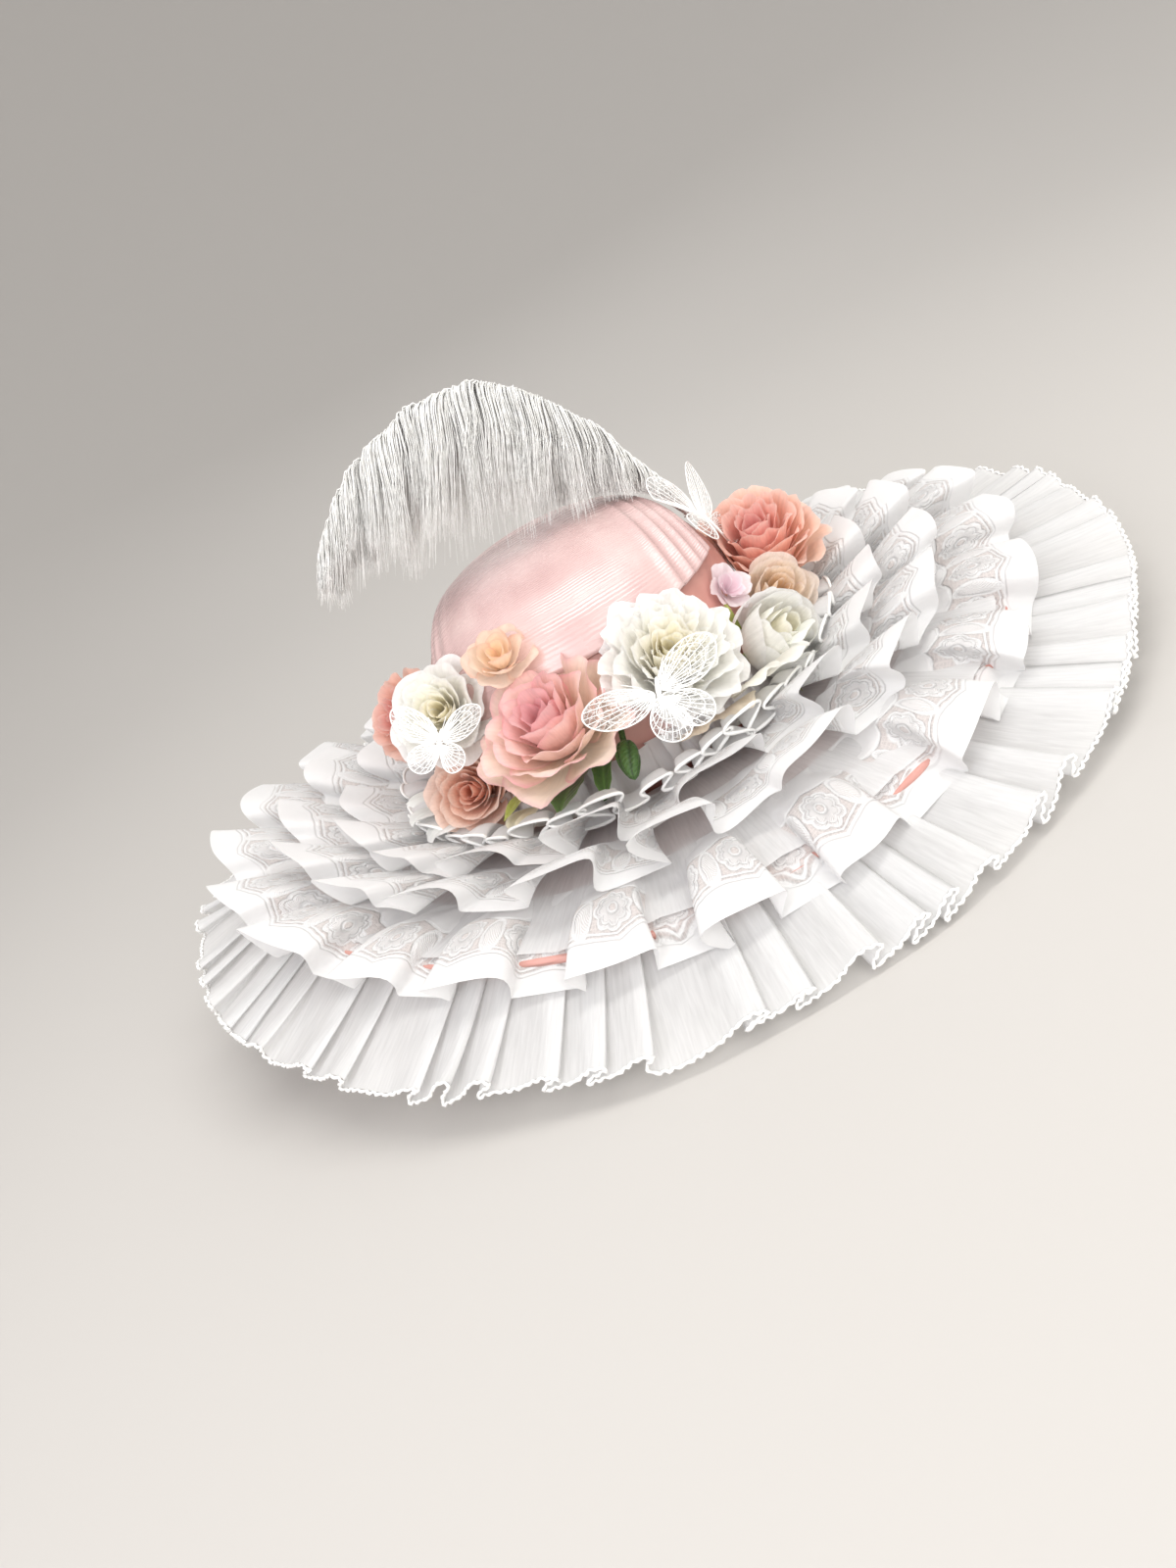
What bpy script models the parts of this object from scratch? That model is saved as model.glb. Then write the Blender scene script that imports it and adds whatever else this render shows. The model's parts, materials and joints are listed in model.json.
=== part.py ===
# Lace hat: satin crown and wide brim, three lace ruffles, a pleated edge frill,
# silk roses round the crown, lace butterflies and an ostrich plume.
# Metres, +Z up the crown. The origin is the centre of the head opening, at its lower edge.
# Azimuths are seen from above: 0 degrees is +X, and 270 degrees (-Y) is the front.

import math

import bmesh
import bpy
from mathutils import Matrix, Vector

MM = 0.001
CLEARANCE = 0.3 * MM            # gap kept where two pieces touch

# Crown: an oval dome on the brim, open below.
CROWN_HALF_WIDTH = 88 * MM
CROWN_HALF_LENGTH = 100 * MM
CROWN_HEIGHT = 114 * MM
CROWN_WALL = 2 * MM
CROWN_SQUARENESS = 3.0          # 2 is a round dome, more gives a fuller shoulder

# Brim: a flat ring that starts under the crown wall and waves towards its rim.
BRIM_RADIUS = 207 * MM
BRIM_THICKNESS = 3 * MM
RIM_SWAY = -14.6 * MM           # left side of the rim up, right side down
RIM_WAVE = 14.3 * MM            # both sides up, front and back down

RUFFLE_CLOTH = 1.6 * MM         # upright thickness of a gathered layer
FRILL_CLOTH = 1.4 * MM
FRILL_WIDTH = 54 * MM
FRILL_PLEATS = 50
FRILL_DROOP = 7.0               # mean fall of the frill, degrees
FRILL_DROOP_SWAY = 12.0         # extra fall towards the front left, degrees
FRILL_DROOP_AZIMUTH = math.radians(245)
FRILL_SEAM_INSET = 2.5 * MM     # the frill is sewn under the rim, this far in
FRILL_SEAM_EASE = 0.7 * MM
PLEAT_DEPTH = (0.8 * MM, 8.8 * MM)      # at the seam and at the hem
PLEAT_RIDE = 0.55               # share of its depth by which a pleat rises over the seam's level
KNIFE_PLEAT = ((0.0, 0.0), (0.62, 1.0), (0.80, 0.25))   # place in the pleat, how deep it lies

# Sash: from the low left of the crown round its front, and over its shoulder.
SASH_LOW_AZIMUTH = (203, 335)
SASH_LOW_HEIGHT = (50, 72)      # mm, at the left end and from the front on
SASH_HIGH_AZIMUTH = (168, 18)
SASH_STAND_OFF = 1.6 * MM
SASH_CLOTH = 1.2 * MM
SASH_TUCKS = {0.82: 2.2 * MM, 0.91: 2.2 * MM, 1.0: 1.8 * MM}    # place along the sash, height

PLUME_WALL = 4 * MM
LACE_PLATE = 1.0 * MM
LEAF_PLATE = 1.2 * MM

# Across the brim, 0 is the crown wall and 1 is the rim.
# rise columns: height over the brim at the inner edge, the seam, the middle and the hem.
RUFFLES = [
    dict(name="outer_ruffle", across=(0.62, 0.66, 0.84, 1.05), rise=(2.2, 2.6, 8.0, 9.0),
         swing=(0.0, 0.6, 4.6, 7.0), folds=27, samples=4, turn=0.0),
    dict(name="middle_ruffle", across=(0.35, 0.39, 0.60, 0.78), rise=(2.2, 2.6, 12.5, 23.0),
         swing=(0.0, 0.6, 4.2, 7.0), folds=22, samples=4, turn=0.4),
    dict(name="inner_ruffle", across=(0.04, 0.13, 0.33, 0.50), rise=(11.0, 3.4, 11.5, 22.0),
         swing=(1.6, 0.6, 3.6, 7.0), folds=18, samples=4, turn=1.1),
]

# seat: azimuth in degrees and height in mm of the stem on the crown wall.
# turn and tilt: how far the flower looks round and up from straight out, in degrees.
# ease: mm that the back of a flower stands off the wall.
FLOWERS = [
    dict(name="coral_rose", seat=(2, 42), turn=-34, tilt=30, across=64, deep=34, petals=5, sides=15,
         ease=3.4, shape="rose", finish="coral_silk"),
    dict(name="apricot_rose", seat=(335, 33), turn=-8, tilt=14, across=34, deep=28, petals=5, sides=10,
         shape="rose", finish="apricot_silk"),
    dict(name="white_rosebud", seat=(315, 24), turn=0, tilt=20, across=44, deep=33, petals=4, sides=12,
         shape="rose", finish="white_silk"),
    dict(name="hydrangea_floret", seat=(319, 56), turn=0, tilt=20, across=20, deep=9, petals=4, sides=12,
         shape="floret", finish="pink_silk"),
    dict(name="cream_peony", seat=(284, 49), turn=0, tilt=34, across=68, deep=28, petals=5, sides=15,
         ease=0.7, shape="rose", finish="cream_silk"),
    dict(name="blush_rose", seat=(251, 48), turn=0, tilt=34, across=60, deep=26, petals=5, sides=15,
         ease=0.6, shape="rose", finish="blush_silk"),
    dict(name="apricot_bud", seat=(243, 86), turn=0, tilt=45, across=28, deep=11, petals=4, sides=12,
         shape="rose", finish="apricot_silk"),
    dict(name="cream_rose", seat=(215, 72), turn=22, tilt=24, across=46, deep=22, petals=5, sides=15,
         ease=1.2, shape="rose", finish="cream_silk"),
    dict(name="coral_rose_left", seat=(167, 54), turn=8, tilt=20, across=46, deep=32, petals=5, sides=12,
         shape="rose", finish="coral_silk"),
    dict(name="peach_rose", seat=(215, 29), turn=8, tilt=22, across=42, deep=31, petals=5, sides=12,
         shape="rose", finish="peach_silk"),
]

# Half section of a flower from the back of its cup to its heart:
# out is the share of the radius, along the share of the depth.
FLOWER_SECTIONS = {
    "rose": [dict(out=0.16, along=0.04), dict(out=0.42, along=0.34), dict(out=0.84, along=0.60),
             dict(out=1.00, along=0.84), dict(out=0.84, along=0.80), dict(out=0.70, along=0.96),
             dict(out=0.54, along=0.78), dict(out=0.42, along=0.98), dict(out=0.24, along=0.80),
             dict(out=0.12, along=0.94)],
    "floret": [dict(out=0.16, along=0.10), dict(out=0.20, along=0.55), dict(out=1.00, along=0.80),
               dict(out=0.94, along=0.98), dict(out=0.22, along=0.78)],
}

# tip: azimuth, distance from the axis and height of a leaf's tip, in degrees and mm.
LEAVES = [
    dict(name="front_leaf", root=(250, 27), tip=(248, 137, 29), across=18),
    dict(name="green_bud", root=(267, 27), tip=(266, 131, 31), across=13),
    dict(name="left_stem", root=(234, 27), tip=(233, 128, 29), across=7),
]

# One side of a butterfly, in shares of its half span, nose to tail.
WING_OUTLINE = [(0.05, 0.30), (0.30, 0.62), (0.70, 0.86), (0.98, 0.80), (0.96, 0.48), (0.72, 0.16),
                (0.52, 0.06), (0.74, -0.16), (0.72, -0.48), (0.46, -0.64), (0.22, -0.46), (0.06, -0.34)]
WING_GAPS = [  # middle and half size of each pierced cell
    dict(middle=(0.42, 0.50), half=(0.10, 0.06)),
    dict(middle=(0.72, 0.62), half=(0.13, 0.09)),
    dict(middle=(0.60, 0.30), half=(0.15, 0.08)),
    dict(middle=(0.48, -0.30), half=(0.12, 0.09)),
]
# fold: how far the wings are raised from flat, in degrees.
BUTTERFLIES = [
    dict(name="peony_butterfly", on="cream_peony", lift=0.4, aside=(0, 0), span=64, spin=28, fold=8),
    dict(name="rose_butterfly", on=None, place=(89, -13, 75), nose=(0.0, -0.93, 0.37),
         face=(0.07, 0.37, 0.92), span=74, spin=0, fold=62),
    dict(name="left_butterfly", on="cream_rose", lift=0.2, aside=(3, -11), span=38, spin=20, fold=16),
]

# Plume spine from the root on the crown's right shoulder to the drooping tip, in mm,
# with the length of the barbs and the half width between the two vanes.
PLUME_STATIONS = [
    dict(at=(81.4, 22, 78), barb=6, half=2.6),
    dict(at=(79, 19, 98), barb=11, half=3.4),
    dict(at=(69, 9, 119), barb=30, half=7),
    dict(at=(56, 2, 148), barb=50, half=11),
    dict(at=(38, 0, 175), barb=64, half=13),
    dict(at=(15, 0, 194), barb=70, half=14),
    dict(at=(-16, 1, 198), barb=68, half=13),
    dict(at=(-52, 2, 188), barb=50, half=11),
    dict(at=(-80, 2, 169), barb=32, half=7),
    dict(at=(-95, 1, 154), barb=10, half=3),
]
PLUME_STEPS = 2                 # sections between two stations
PLUME_HANG = Vector((-0.40, -0.36, -0.84)).normalized()
PLUME_TIP_STEP = 0.13           # every second lock is this much shorter
PLUME_LEAST_BARB = 6 * MM
PLUME_MARGIN = 5 * MM           # the barbs end this far above the crown
# one section: share of the half width, share of the barb's length below the spine
PLUME_SECTION = ((0.85, 1.0), (1.0, 0.55), (0.68, 0.14), (0.0, -0.03),
                 (-0.68, 0.14), (-1.0, 0.55), (-0.85, 1.0))

FINISHES = {  # sRGB colour, roughness
    "rose_satin": ((0.79, 0.54, 0.50), 0.40),
    "pale_satin": ((0.90, 0.77, 0.77), 0.34),
    "white_chiffon": ((0.93, 0.94, 0.94), 0.80),
    "coral_silk": ((0.90, 0.56, 0.49), 0.75),
    "peach_silk": ((0.96, 0.66, 0.50), 0.75),
    "apricot_silk": ((0.96, 0.80, 0.64), 0.75),
    "blush_silk": ((0.94, 0.72, 0.67), 0.75),
    "cream_silk": ((0.95, 0.95, 0.88), 0.75),
    "white_silk": ((0.96, 0.96, 0.92), 0.75),
    "pink_silk": ((0.93, 0.85, 0.87), 0.75),
    "leaf_cloth": ((0.40, 0.50, 0.26), 0.70),
    "white_lace": ((0.94, 0.94, 0.93), 0.80),
    "white_feather": ((0.92, 0.92, 0.90), 0.85),
}


def clear_scene():
    for thing in list(bpy.data.objects):
        bpy.data.objects.remove(thing, do_unlink=True)


def finish(name):
    material = bpy.data.materials.get(name)
    if material is None:
        colour, roughness = FINISHES[name]
        material = bpy.data.materials.new(name)
        material.use_nodes = True
        shader = material.node_tree.nodes["Principled BSDF"]
        linear = [(c / 12.92) if c <= 0.04045 else ((c + 0.055) / 1.055) ** 2.4 for c in colour]
        shader.inputs["Base Color"].default_value = (*linear, 1.0)
        shader.inputs["Roughness"].default_value = roughness
        shader.inputs["Metallic"].default_value = 0.0
    return material


def add_piece(name, points, faces, finish_name):
    mesh = bpy.data.meshes.new(name)
    mesh.from_pydata([tuple(p) for p in points], [], faces)
    body = bmesh.new()
    body.from_mesh(mesh)
    bmesh.ops.triangulate(body, faces=body.faces)
    bmesh.ops.recalc_face_normals(body, faces=body.faces)
    body.to_mesh(mesh)
    body.free()
    mesh.shade_smooth()
    mesh.set_sharp_from_angle(angle=math.radians(50))
    mesh.materials.append(finish(finish_name))
    piece = bpy.data.objects.new(name, mesh)
    bpy.context.scene.collection.objects.link(piece)
    return piece


def close_wall(top, bottom, ring):
    """Join two equal grids of points into one closed wall; a ring closes on itself along its length.
    Both faces are cut along the same diagonals, so the wall keeps its thickness where it is twisted."""
    length, width = len(top), len(top[0])
    points = [p for row in top for p in row] + [p for row in bottom for p in row]
    under = length * width

    def at(i, j):
        return (i % length) * width + j

    faces = []
    for i in range(length if ring else length - 1):
        for j in range(width - 1):
            a, b, c, d = at(i, j), at(i + 1, j), at(i + 1, j + 1), at(i, j + 1)
            faces += [(a, b, c), (a, c, d)]
            faces += [(under + c, under + b, under + a), (under + d, under + c, under + a)]
        for j, flip in ((0, False), (width - 1, True)):
            a, b = at(i, j), at(i + 1, j)
            side = (a, under + a, under + b, b)
            faces.append(side[::-1] if flip else side)
    if not ring:
        for i, flip in ((0, True), (length - 1, False)):
            for j in range(width - 1):
                a, b = at(i, j), at(i, j + 1)
                side = (a, under + a, under + b, b)
                faces.append(side[::-1] if flip else side)
    return points, faces


def oval_radius(azimuth, grow=0.0):
    across = math.cos(azimuth) / (CROWN_HALF_WIDTH + grow)
    along = math.sin(azimuth) / (CROWN_HALF_LENGTH + grow)
    return 1 / math.hypot(across, along)


def dome_point(azimuth, share, grow=0.0):
    """Point of the crown's outer surface, share being 0 at the apex and 1 at the foot."""
    n = CROWN_SQUARENESS
    height = (CROWN_HEIGHT - BRIM_THICKNESS - CLEARANCE + grow) * max(0.0, 1 - share ** n) ** (1 / n)
    reach = oval_radius(azimuth, grow) * share
    return Vector((reach * math.cos(azimuth), reach * math.sin(azimuth), BRIM_THICKNESS + CLEARANCE + height))


def dome_share(height, grow=0.0):
    n = CROWN_SQUARENESS
    part = (height - BRIM_THICKNESS - CLEARANCE) / (CROWN_HEIGHT - BRIM_THICKNESS - CLEARANCE + grow)
    return (1 - min(1.0, max(0.0, part)) ** n) ** (1 / n)


def rim_lift(azimuth):
    return RIM_SWAY * math.cos(azimuth) + RIM_WAVE * math.cos(2 * azimuth)


def brim_top(azimuth, across):
    """Point on the brim's upper face; across runs from the crown wall, 0, to the rim, 1, and beyond."""
    inner = oval_radius(azimuth)
    reach = inner + (BRIM_RADIUS - inner) * across
    height = BRIM_THICKNESS + rim_lift(azimuth) * max(0.0, across) ** 2
    return Vector((reach * math.cos(azimuth), reach * math.sin(azimuth), height))


def between(ends, share):
    return ends[0] + (ends[1] - ends[0]) * share


def up(amount):
    return Vector((0, 0, amount))


def make_crown(sections=32):
    shares = (1.0, 0.985, 0.93, 0.84, 0.70, 0.50, 0.26)
    outer_rows, inner_rows = [], []
    foot = up(BRIM_THICKNESS + CLEARANCE)
    for i in range(sections):
        azimuth = 2 * math.pi * i / sections
        outer_rows.append([dome_point(azimuth, s) for s in shares])
        inner = [dome_point(azimuth, s, -CROWN_WALL) for s in shares]
        inner[0].z = foot.z
        inner_rows.append(inner)
    points, faces = close_wall(outer_rows, inner_rows, True)
    width, under = len(shares), sections * len(shares)
    # the apex closes both shells, so the faces that would bridge them there are left out
    faces = [f for f in faces if not all(k % width == width - 1 for k in f)]
    points += [dome_point(0, 0.0), dome_point(0, 0.0, -CROWN_WALL)]
    apex, inside = len(points) - 2, len(points) - 1
    for i in range(sections):
        a = i * width + width - 1
        b = ((i + 1) % sections) * width + width - 1
        faces.append((a, b, apex))
        faces.append((under + b, under + a, inside))
    return add_piece("crown", points, faces, "rose_satin")


def make_brim(sections=40):
    lanes = (-0.015, 0.4, 0.75, 1.0)
    top, bottom = [], []
    for i in range(sections):
        azimuth = 2 * math.pi * i / sections
        row = [brim_top(azimuth, lane) for lane in lanes]
        top.append(row)
        bottom.append([p - up(BRIM_THICKNESS) for p in row])
    points, faces = close_wall(top, bottom, True)
    return add_piece("brim", points, faces, "rose_satin")


def soft_fold(phase):
    """A rounded box fold: a sine with flattened tops."""
    return math.tanh(1.5 * math.sin(phase)) / math.tanh(1.5)


def make_ruffle(row):
    sections = row["folds"] * row["samples"]
    top, bottom = [], []
    for i in range(sections):
        azimuth = 2 * math.pi * i / sections
        drift = 0.5 * math.sin(3 * azimuth + row["turn"])
        fold = soft_fold(row["folds"] * azimuth + row["turn"] + drift)
        line = []
        for across, rise, swing in zip(row["across"], row["rise"], row["swing"]):
            line.append(brim_top(azimuth, across) + up((rise + swing * fold) * MM))
        top.append([p + up(RUFFLE_CLOTH / 2) for p in line])
        bottom.append([p - up(RUFFLE_CLOTH / 2) for p in line])
    points, faces = close_wall(top, bottom, True)
    return add_piece(row["name"], points, faces, "white_chiffon")


def frill_point(azimuth, share, pleat):
    """share 0 is the seam under the rim and 1 the hem; pleat is how deep the point lies in the pleat."""
    fall = math.radians(FRILL_DROOP + FRILL_DROOP_SWAY * math.cos(azimuth - FRILL_DROOP_AZIMUTH))
    reach = BRIM_RADIUS - FRILL_SEAM_INSET + (FRILL_SEAM_INSET + FRILL_WIDTH * math.cos(fall)) * share
    inner = oval_radius(azimuth)
    under_brim = brim_top(azimuth, min(1.0, (reach - inner) / (BRIM_RADIUS - inner)))
    base = under_brim.z - BRIM_THICKNESS - CLEARANCE - FRILL_SEAM_EASE - FRILL_CLOTH / 2
    past_rim = max(0.0, reach - BRIM_RADIUS) / math.cos(fall)
    depth = between(PLEAT_DEPTH, share)
    height = base - past_rim * math.sin(fall) - depth * pleat + PLEAT_RIDE * depth * share
    return Vector((reach * math.cos(azimuth), reach * math.sin(azimuth), height))


def make_edge_frill():
    shares = (0.0, 0.20, 1.0)
    top, bottom = [], []
    for i in range(FRILL_PLEATS):
        for place, pleat in KNIFE_PLEAT:
            azimuth = 2 * math.pi * (i + place) / FRILL_PLEATS
            line = [frill_point(azimuth, share, pleat) for share in shares]
            top.append([p + up(FRILL_CLOTH / 2) for p in line])
            bottom.append([p - up(FRILL_CLOTH / 2) for p in line])
    points, faces = close_wall(top, bottom, True)
    return add_piece("edge_frill", points, faces, "white_chiffon")


def make_sash():
    """Pale satin drape over the front and top of the crown, tucked together at its right end."""
    columns = [0.0, 0.08, 0.17, 0.26, 0.35, 0.44, 0.53, 0.61, 0.69, 0.77, 0.82, 0.87, 0.91, 0.955, 1.0]
    rows = (0.0, 0.06, 0.13, 0.22, 0.34, 0.50, 0.72, 1.0)
    top, bottom = [], []
    for u in columns:
        low_azimuth = math.radians(between(SASH_LOW_AZIMUTH, u))
        low_height = between(SASH_LOW_HEIGHT, min(1.0, u / 0.35)) * MM
        high_azimuth = math.radians(between(SASH_HIGH_AZIMUTH, u))
        low, high = dome_share(low_height), 0.45 + 0.2 * abs(2 * u - 1)
        over, under = [], []
        for v in rows:
            x = (1 - v) * low * math.cos(low_azimuth) + v * high * math.cos(high_azimuth)
            y = (1 - v) * low * math.sin(low_azimuth) + v * high * math.sin(high_azimuth)
            # shares of the oval, so the point stays on the dome
            share = math.hypot(x, y)
            azimuth = math.atan2(y * CROWN_HALF_LENGTH, x * CROWN_HALF_WIDTH)
            inside = SASH_STAND_OFF + SASH_TUCKS.get(u, 0.0) * (1 - v)
            under.append(dome_point(azimuth, share, inside))
            over.append(dome_point(azimuth, share, inside + SASH_CLOTH))
        top.append(over)
        bottom.append(under)
    points, faces = close_wall(top, bottom, False)
    return add_piece("crown_sash", points, faces, "pale_satin")


def flower_frame(row):
    """Back point, direction and two side directions of a flower."""
    azimuth, height = math.radians(row["seat"][0]), row["seat"][1] * MM
    look = azimuth + math.radians(row["turn"])
    tilt = math.radians(row["tilt"])
    outward = Vector((math.cos(look) * math.cos(tilt), math.sin(look) * math.cos(tilt), math.sin(tilt)))
    on_sash = height > 58 * MM and SASH_LOW_AZIMUTH[0] < row["seat"][0] < SASH_LOW_AZIMUTH[1]
    stand_off = ((2.5 if on_sash else -0.2) + row.get("ease", 0.0)) * MM
    back = dome_point(azimuth, dome_share(height, stand_off), stand_off)
    side = Vector((-math.sin(look), math.cos(look), 0.0))
    return back, outward, side, outward.cross(side)


def make_flower(row):
    back, outward, side, over = flower_frame(row)
    radius, deep = row["across"] / 2 * MM, row["deep"] * MM
    section, sides, petals = FLOWER_SECTIONS[row["shape"]], row["sides"], row["petals"]
    floret = row["shape"] == "floret"
    points, faces = [back], []
    for k, ring in enumerate(section):
        for i in range(sides):
            angle = 2 * math.pi * i / sides
            # each whorl of petals is turned by half a petal from the one outside it
            lobe = math.cos(petals * angle + (0.0 if floret else math.pi * (k // 2)))
            strength = 0.30 if floret else 0.045
            reach = radius * ring["out"] * (1 - strength + strength * lobe)
            along = deep * ring["along"] * (1 + (0.0 if floret else 0.02) * lobe)
            around = side * math.cos(angle) + over * math.sin(angle)
            points.append(back + outward * along + around * reach)
    heart = back + outward * deep * (0.86 if floret else 1.0)
    points.append(heart)
    last = len(points) - 1
    for i in range(sides):
        j = (i + 1) % sides
        faces.append((0, 1 + j, 1 + i))
        for k in range(len(section) - 1):
            a, b = 1 + k * sides, 1 + (k + 1) * sides
            faces.append((a + i, a + j, b + j, b + i))
        b = 1 + (len(section) - 1) * sides
        faces.append((b + i, b + j, last))
    return add_piece(row["name"], points, faces, row["finish"])


def make_leaf(row):
    root_azimuth, root_height = math.radians(row["root"][0]), row["root"][1] * MM
    tip_azimuth, tip_reach, tip_height = math.radians(row["tip"][0]), row["tip"][1] * MM, row["tip"][2] * MM
    root = dome_point(root_azimuth, dome_share(root_height, -0.3 * MM), -0.3 * MM)
    tip = Vector((tip_reach * math.cos(tip_azimuth), tip_reach * math.sin(tip_azimuth), tip_height))
    side = (tip - root).cross(up(1)).normalized()
    top, bottom = [], []
    for s in (0.0, 0.25, 0.5, 0.75, 1.0):
        half = row["across"] / 2 * MM * (0.12 + 0.88 * math.sin(math.pi * min(1.0, 0.08 + 0.88 * s)) ** 0.8)
        middle = root.lerp(tip, s) + up(2.0 * MM * math.sin(math.pi * s))
        line = [middle + side * half * w + up(abs(w) * half * 0.22) for w in (-1, 0, 1)]
        top.append([p + up(LEAF_PLATE / 2) for p in line])
        bottom.append([p - up(LEAF_PLATE / 2) for p in line])
    points, faces = close_wall(top, bottom, False)
    return add_piece(row["name"], points, faces, "leaf_cloth")


def make_butterfly(row):
    half = row["span"] / 2 * MM
    if row["on"]:
        carrier = next(f for f in FLOWERS if f["name"] == row["on"])
        back, outward, side, over = flower_frame(carrier)
        place = back + outward * (carrier["deep"] + row["lift"]) * MM
        place += side * row["aside"][0] * MM + over * row["aside"][1] * MM
        face, nose = outward, over
    else:
        place = Vector(row["place"]) * MM
        face, nose = Vector(row["face"]).normalized(), Vector(row["nose"]).normalized()
        nose = (nose - face * nose.dot(face)).normalized()
    right = nose.cross(face)
    spin, fold = math.radians(row["spin"]), math.radians(row["fold"])
    turn = Matrix.Rotation(spin, 3, face)
    right, nose = turn @ right, turn @ nose

    outline = [(x, y) for x, y in WING_OUTLINE] + [(-x, y) for x, y in reversed(WING_OUTLINE)]
    loops = [outline]
    for gap in WING_GAPS:
        (x, y), (w, h) = gap["middle"], gap["half"]
        for mirror in (1, -1):
            cell = [(x + w, y), (x, y + h), (x - w, y), (x, y - h)]
            loops.append([(mirror * a, b) for a, b in cell])
    plate = bmesh.new()
    edges = []
    for loop in loops:
        corners = [plate.verts.new((x * half, y * half, 0)) for x, y in loop]
        edges += [plate.edges.new((corners[k - 1], corners[k])) for k in range(len(corners))]
    bmesh.ops.triangle_fill(plate, use_beauty=True, edges=edges)
    raised = bmesh.ops.extrude_face_region(plate, geom=list(plate.faces))["geom"]
    for vertex in (g for g in raised if isinstance(g, bmesh.types.BMVert)):
        vertex.co.z += LACE_PLATE
    for vertex in plate.verts:
        x, y, z = vertex.co
        vertex.co = place + right * x * math.cos(fold) + nose * y + face * (z + abs(x) * math.sin(fold))
    bmesh.ops.recalc_face_normals(plate, faces=plate.faces)
    mesh = bpy.data.meshes.new(row["name"])
    plate.to_mesh(mesh)
    plate.free()
    mesh.materials.append(finish("white_lace"))
    piece = bpy.data.objects.new(row["name"], mesh)
    bpy.context.scene.collection.objects.link(piece)
    return piece


def smooth_stations():
    """Catmull-Rom steps between the plume's stations."""
    rows = [dict(at=Vector(s["at"]) * MM, barb=s["barb"] * MM, half=s["half"] * MM) for s in PLUME_STATIONS]
    rows = [rows[0]] + rows + [rows[-1]]
    out = []
    for k in range(1, len(rows) - 2):
        for step in range(PLUME_STEPS):
            t = step / PLUME_STEPS
            a, b, c, d = (rows[k + m] for m in (-1, 0, 1, 2))
            at = 0.5 * ((2 * b["at"]) + (c["at"] - a["at"]) * t
                        + (2 * a["at"] - 5 * b["at"] + 4 * c["at"] - d["at"]) * t * t
                        + (3 * b["at"] - a["at"] - 3 * c["at"] + d["at"]) * t ** 3)
            out.append(dict(at=at, barb=b["barb"] + (c["barb"] - b["barb"]) * t,
                            half=b["half"] + (c["half"] - b["half"]) * t))
    out.append(rows[-2])
    return out


def clear_of_crown(point):
    margin = PLUME_MARGIN
    top = CROWN_HEIGHT + margin
    share = math.hypot(point.x / (CROWN_HALF_WIDTH + margin), point.y / (CROWN_HALF_LENGTH + margin))
    return share ** CROWN_SQUARENESS + max(0.0, point.z / top) ** CROWN_SQUARENESS > 1


def make_plume():
    """Ostrich plume: front and back vanes hang from the spine and end in locks."""
    stations = smooth_stations()
    outer, inner = [], []
    for k, station in enumerate(stations):
        ahead = stations[min(k + 1, len(stations) - 1)]["at"]
        behind = stations[max(k - 1, 0)]["at"]
        side = (ahead - behind).normalized().cross(PLUME_HANG).normalized()
        barb, half = station["barb"] * (1 - PLUME_TIP_STEP * (k % 2)), station["half"]
        edges = [station["at"] + side * half * s for s in (-1, 0, 1)]
        while barb > PLUME_LEAST_BARB and not all(clear_of_crown(e + PLUME_HANG * barb) for e in edges):
            barb -= 1 * MM
        wall = min(PLUME_WALL, half * 0.5)
        over, under = [], []
        for across, down in PLUME_SECTION:
            over.append(station["at"] + side * half * across + PLUME_HANG * barb * down)
            drop = barb * down + (wall * (1.1 - abs(across)) if down < 0.5 else 0.0)
            under.append(station["at"] + side * (half - wall) * across + PLUME_HANG * drop)
        outer.append(over)
        inner.append(under)
    points, faces = close_wall(outer, inner, False)
    return add_piece("plume", points, faces, "white_feather")


clear_scene()
make_crown()
make_brim()
make_edge_frill()
for ruffle in RUFFLES:
    make_ruffle(ruffle)
make_sash()
for flower in FLOWERS:
    make_flower(flower)
for leaf in LEAVES:
    make_leaf(leaf)
for butterfly in BUTTERFLIES:
    make_butterfly(butterfly)
make_plume()
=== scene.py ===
# Lace hat, dressed: satin crown and brim, lace ruffles, pleated frill, silk flowers, butterflies, plume.
# Metres in the frame of the CAD part: +Z up the crown, -Y the front, origin in the head opening.

import json
import math
import random

import bmesh
import bpy
import numpy as np
from mathutils import Matrix, Vector


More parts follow.
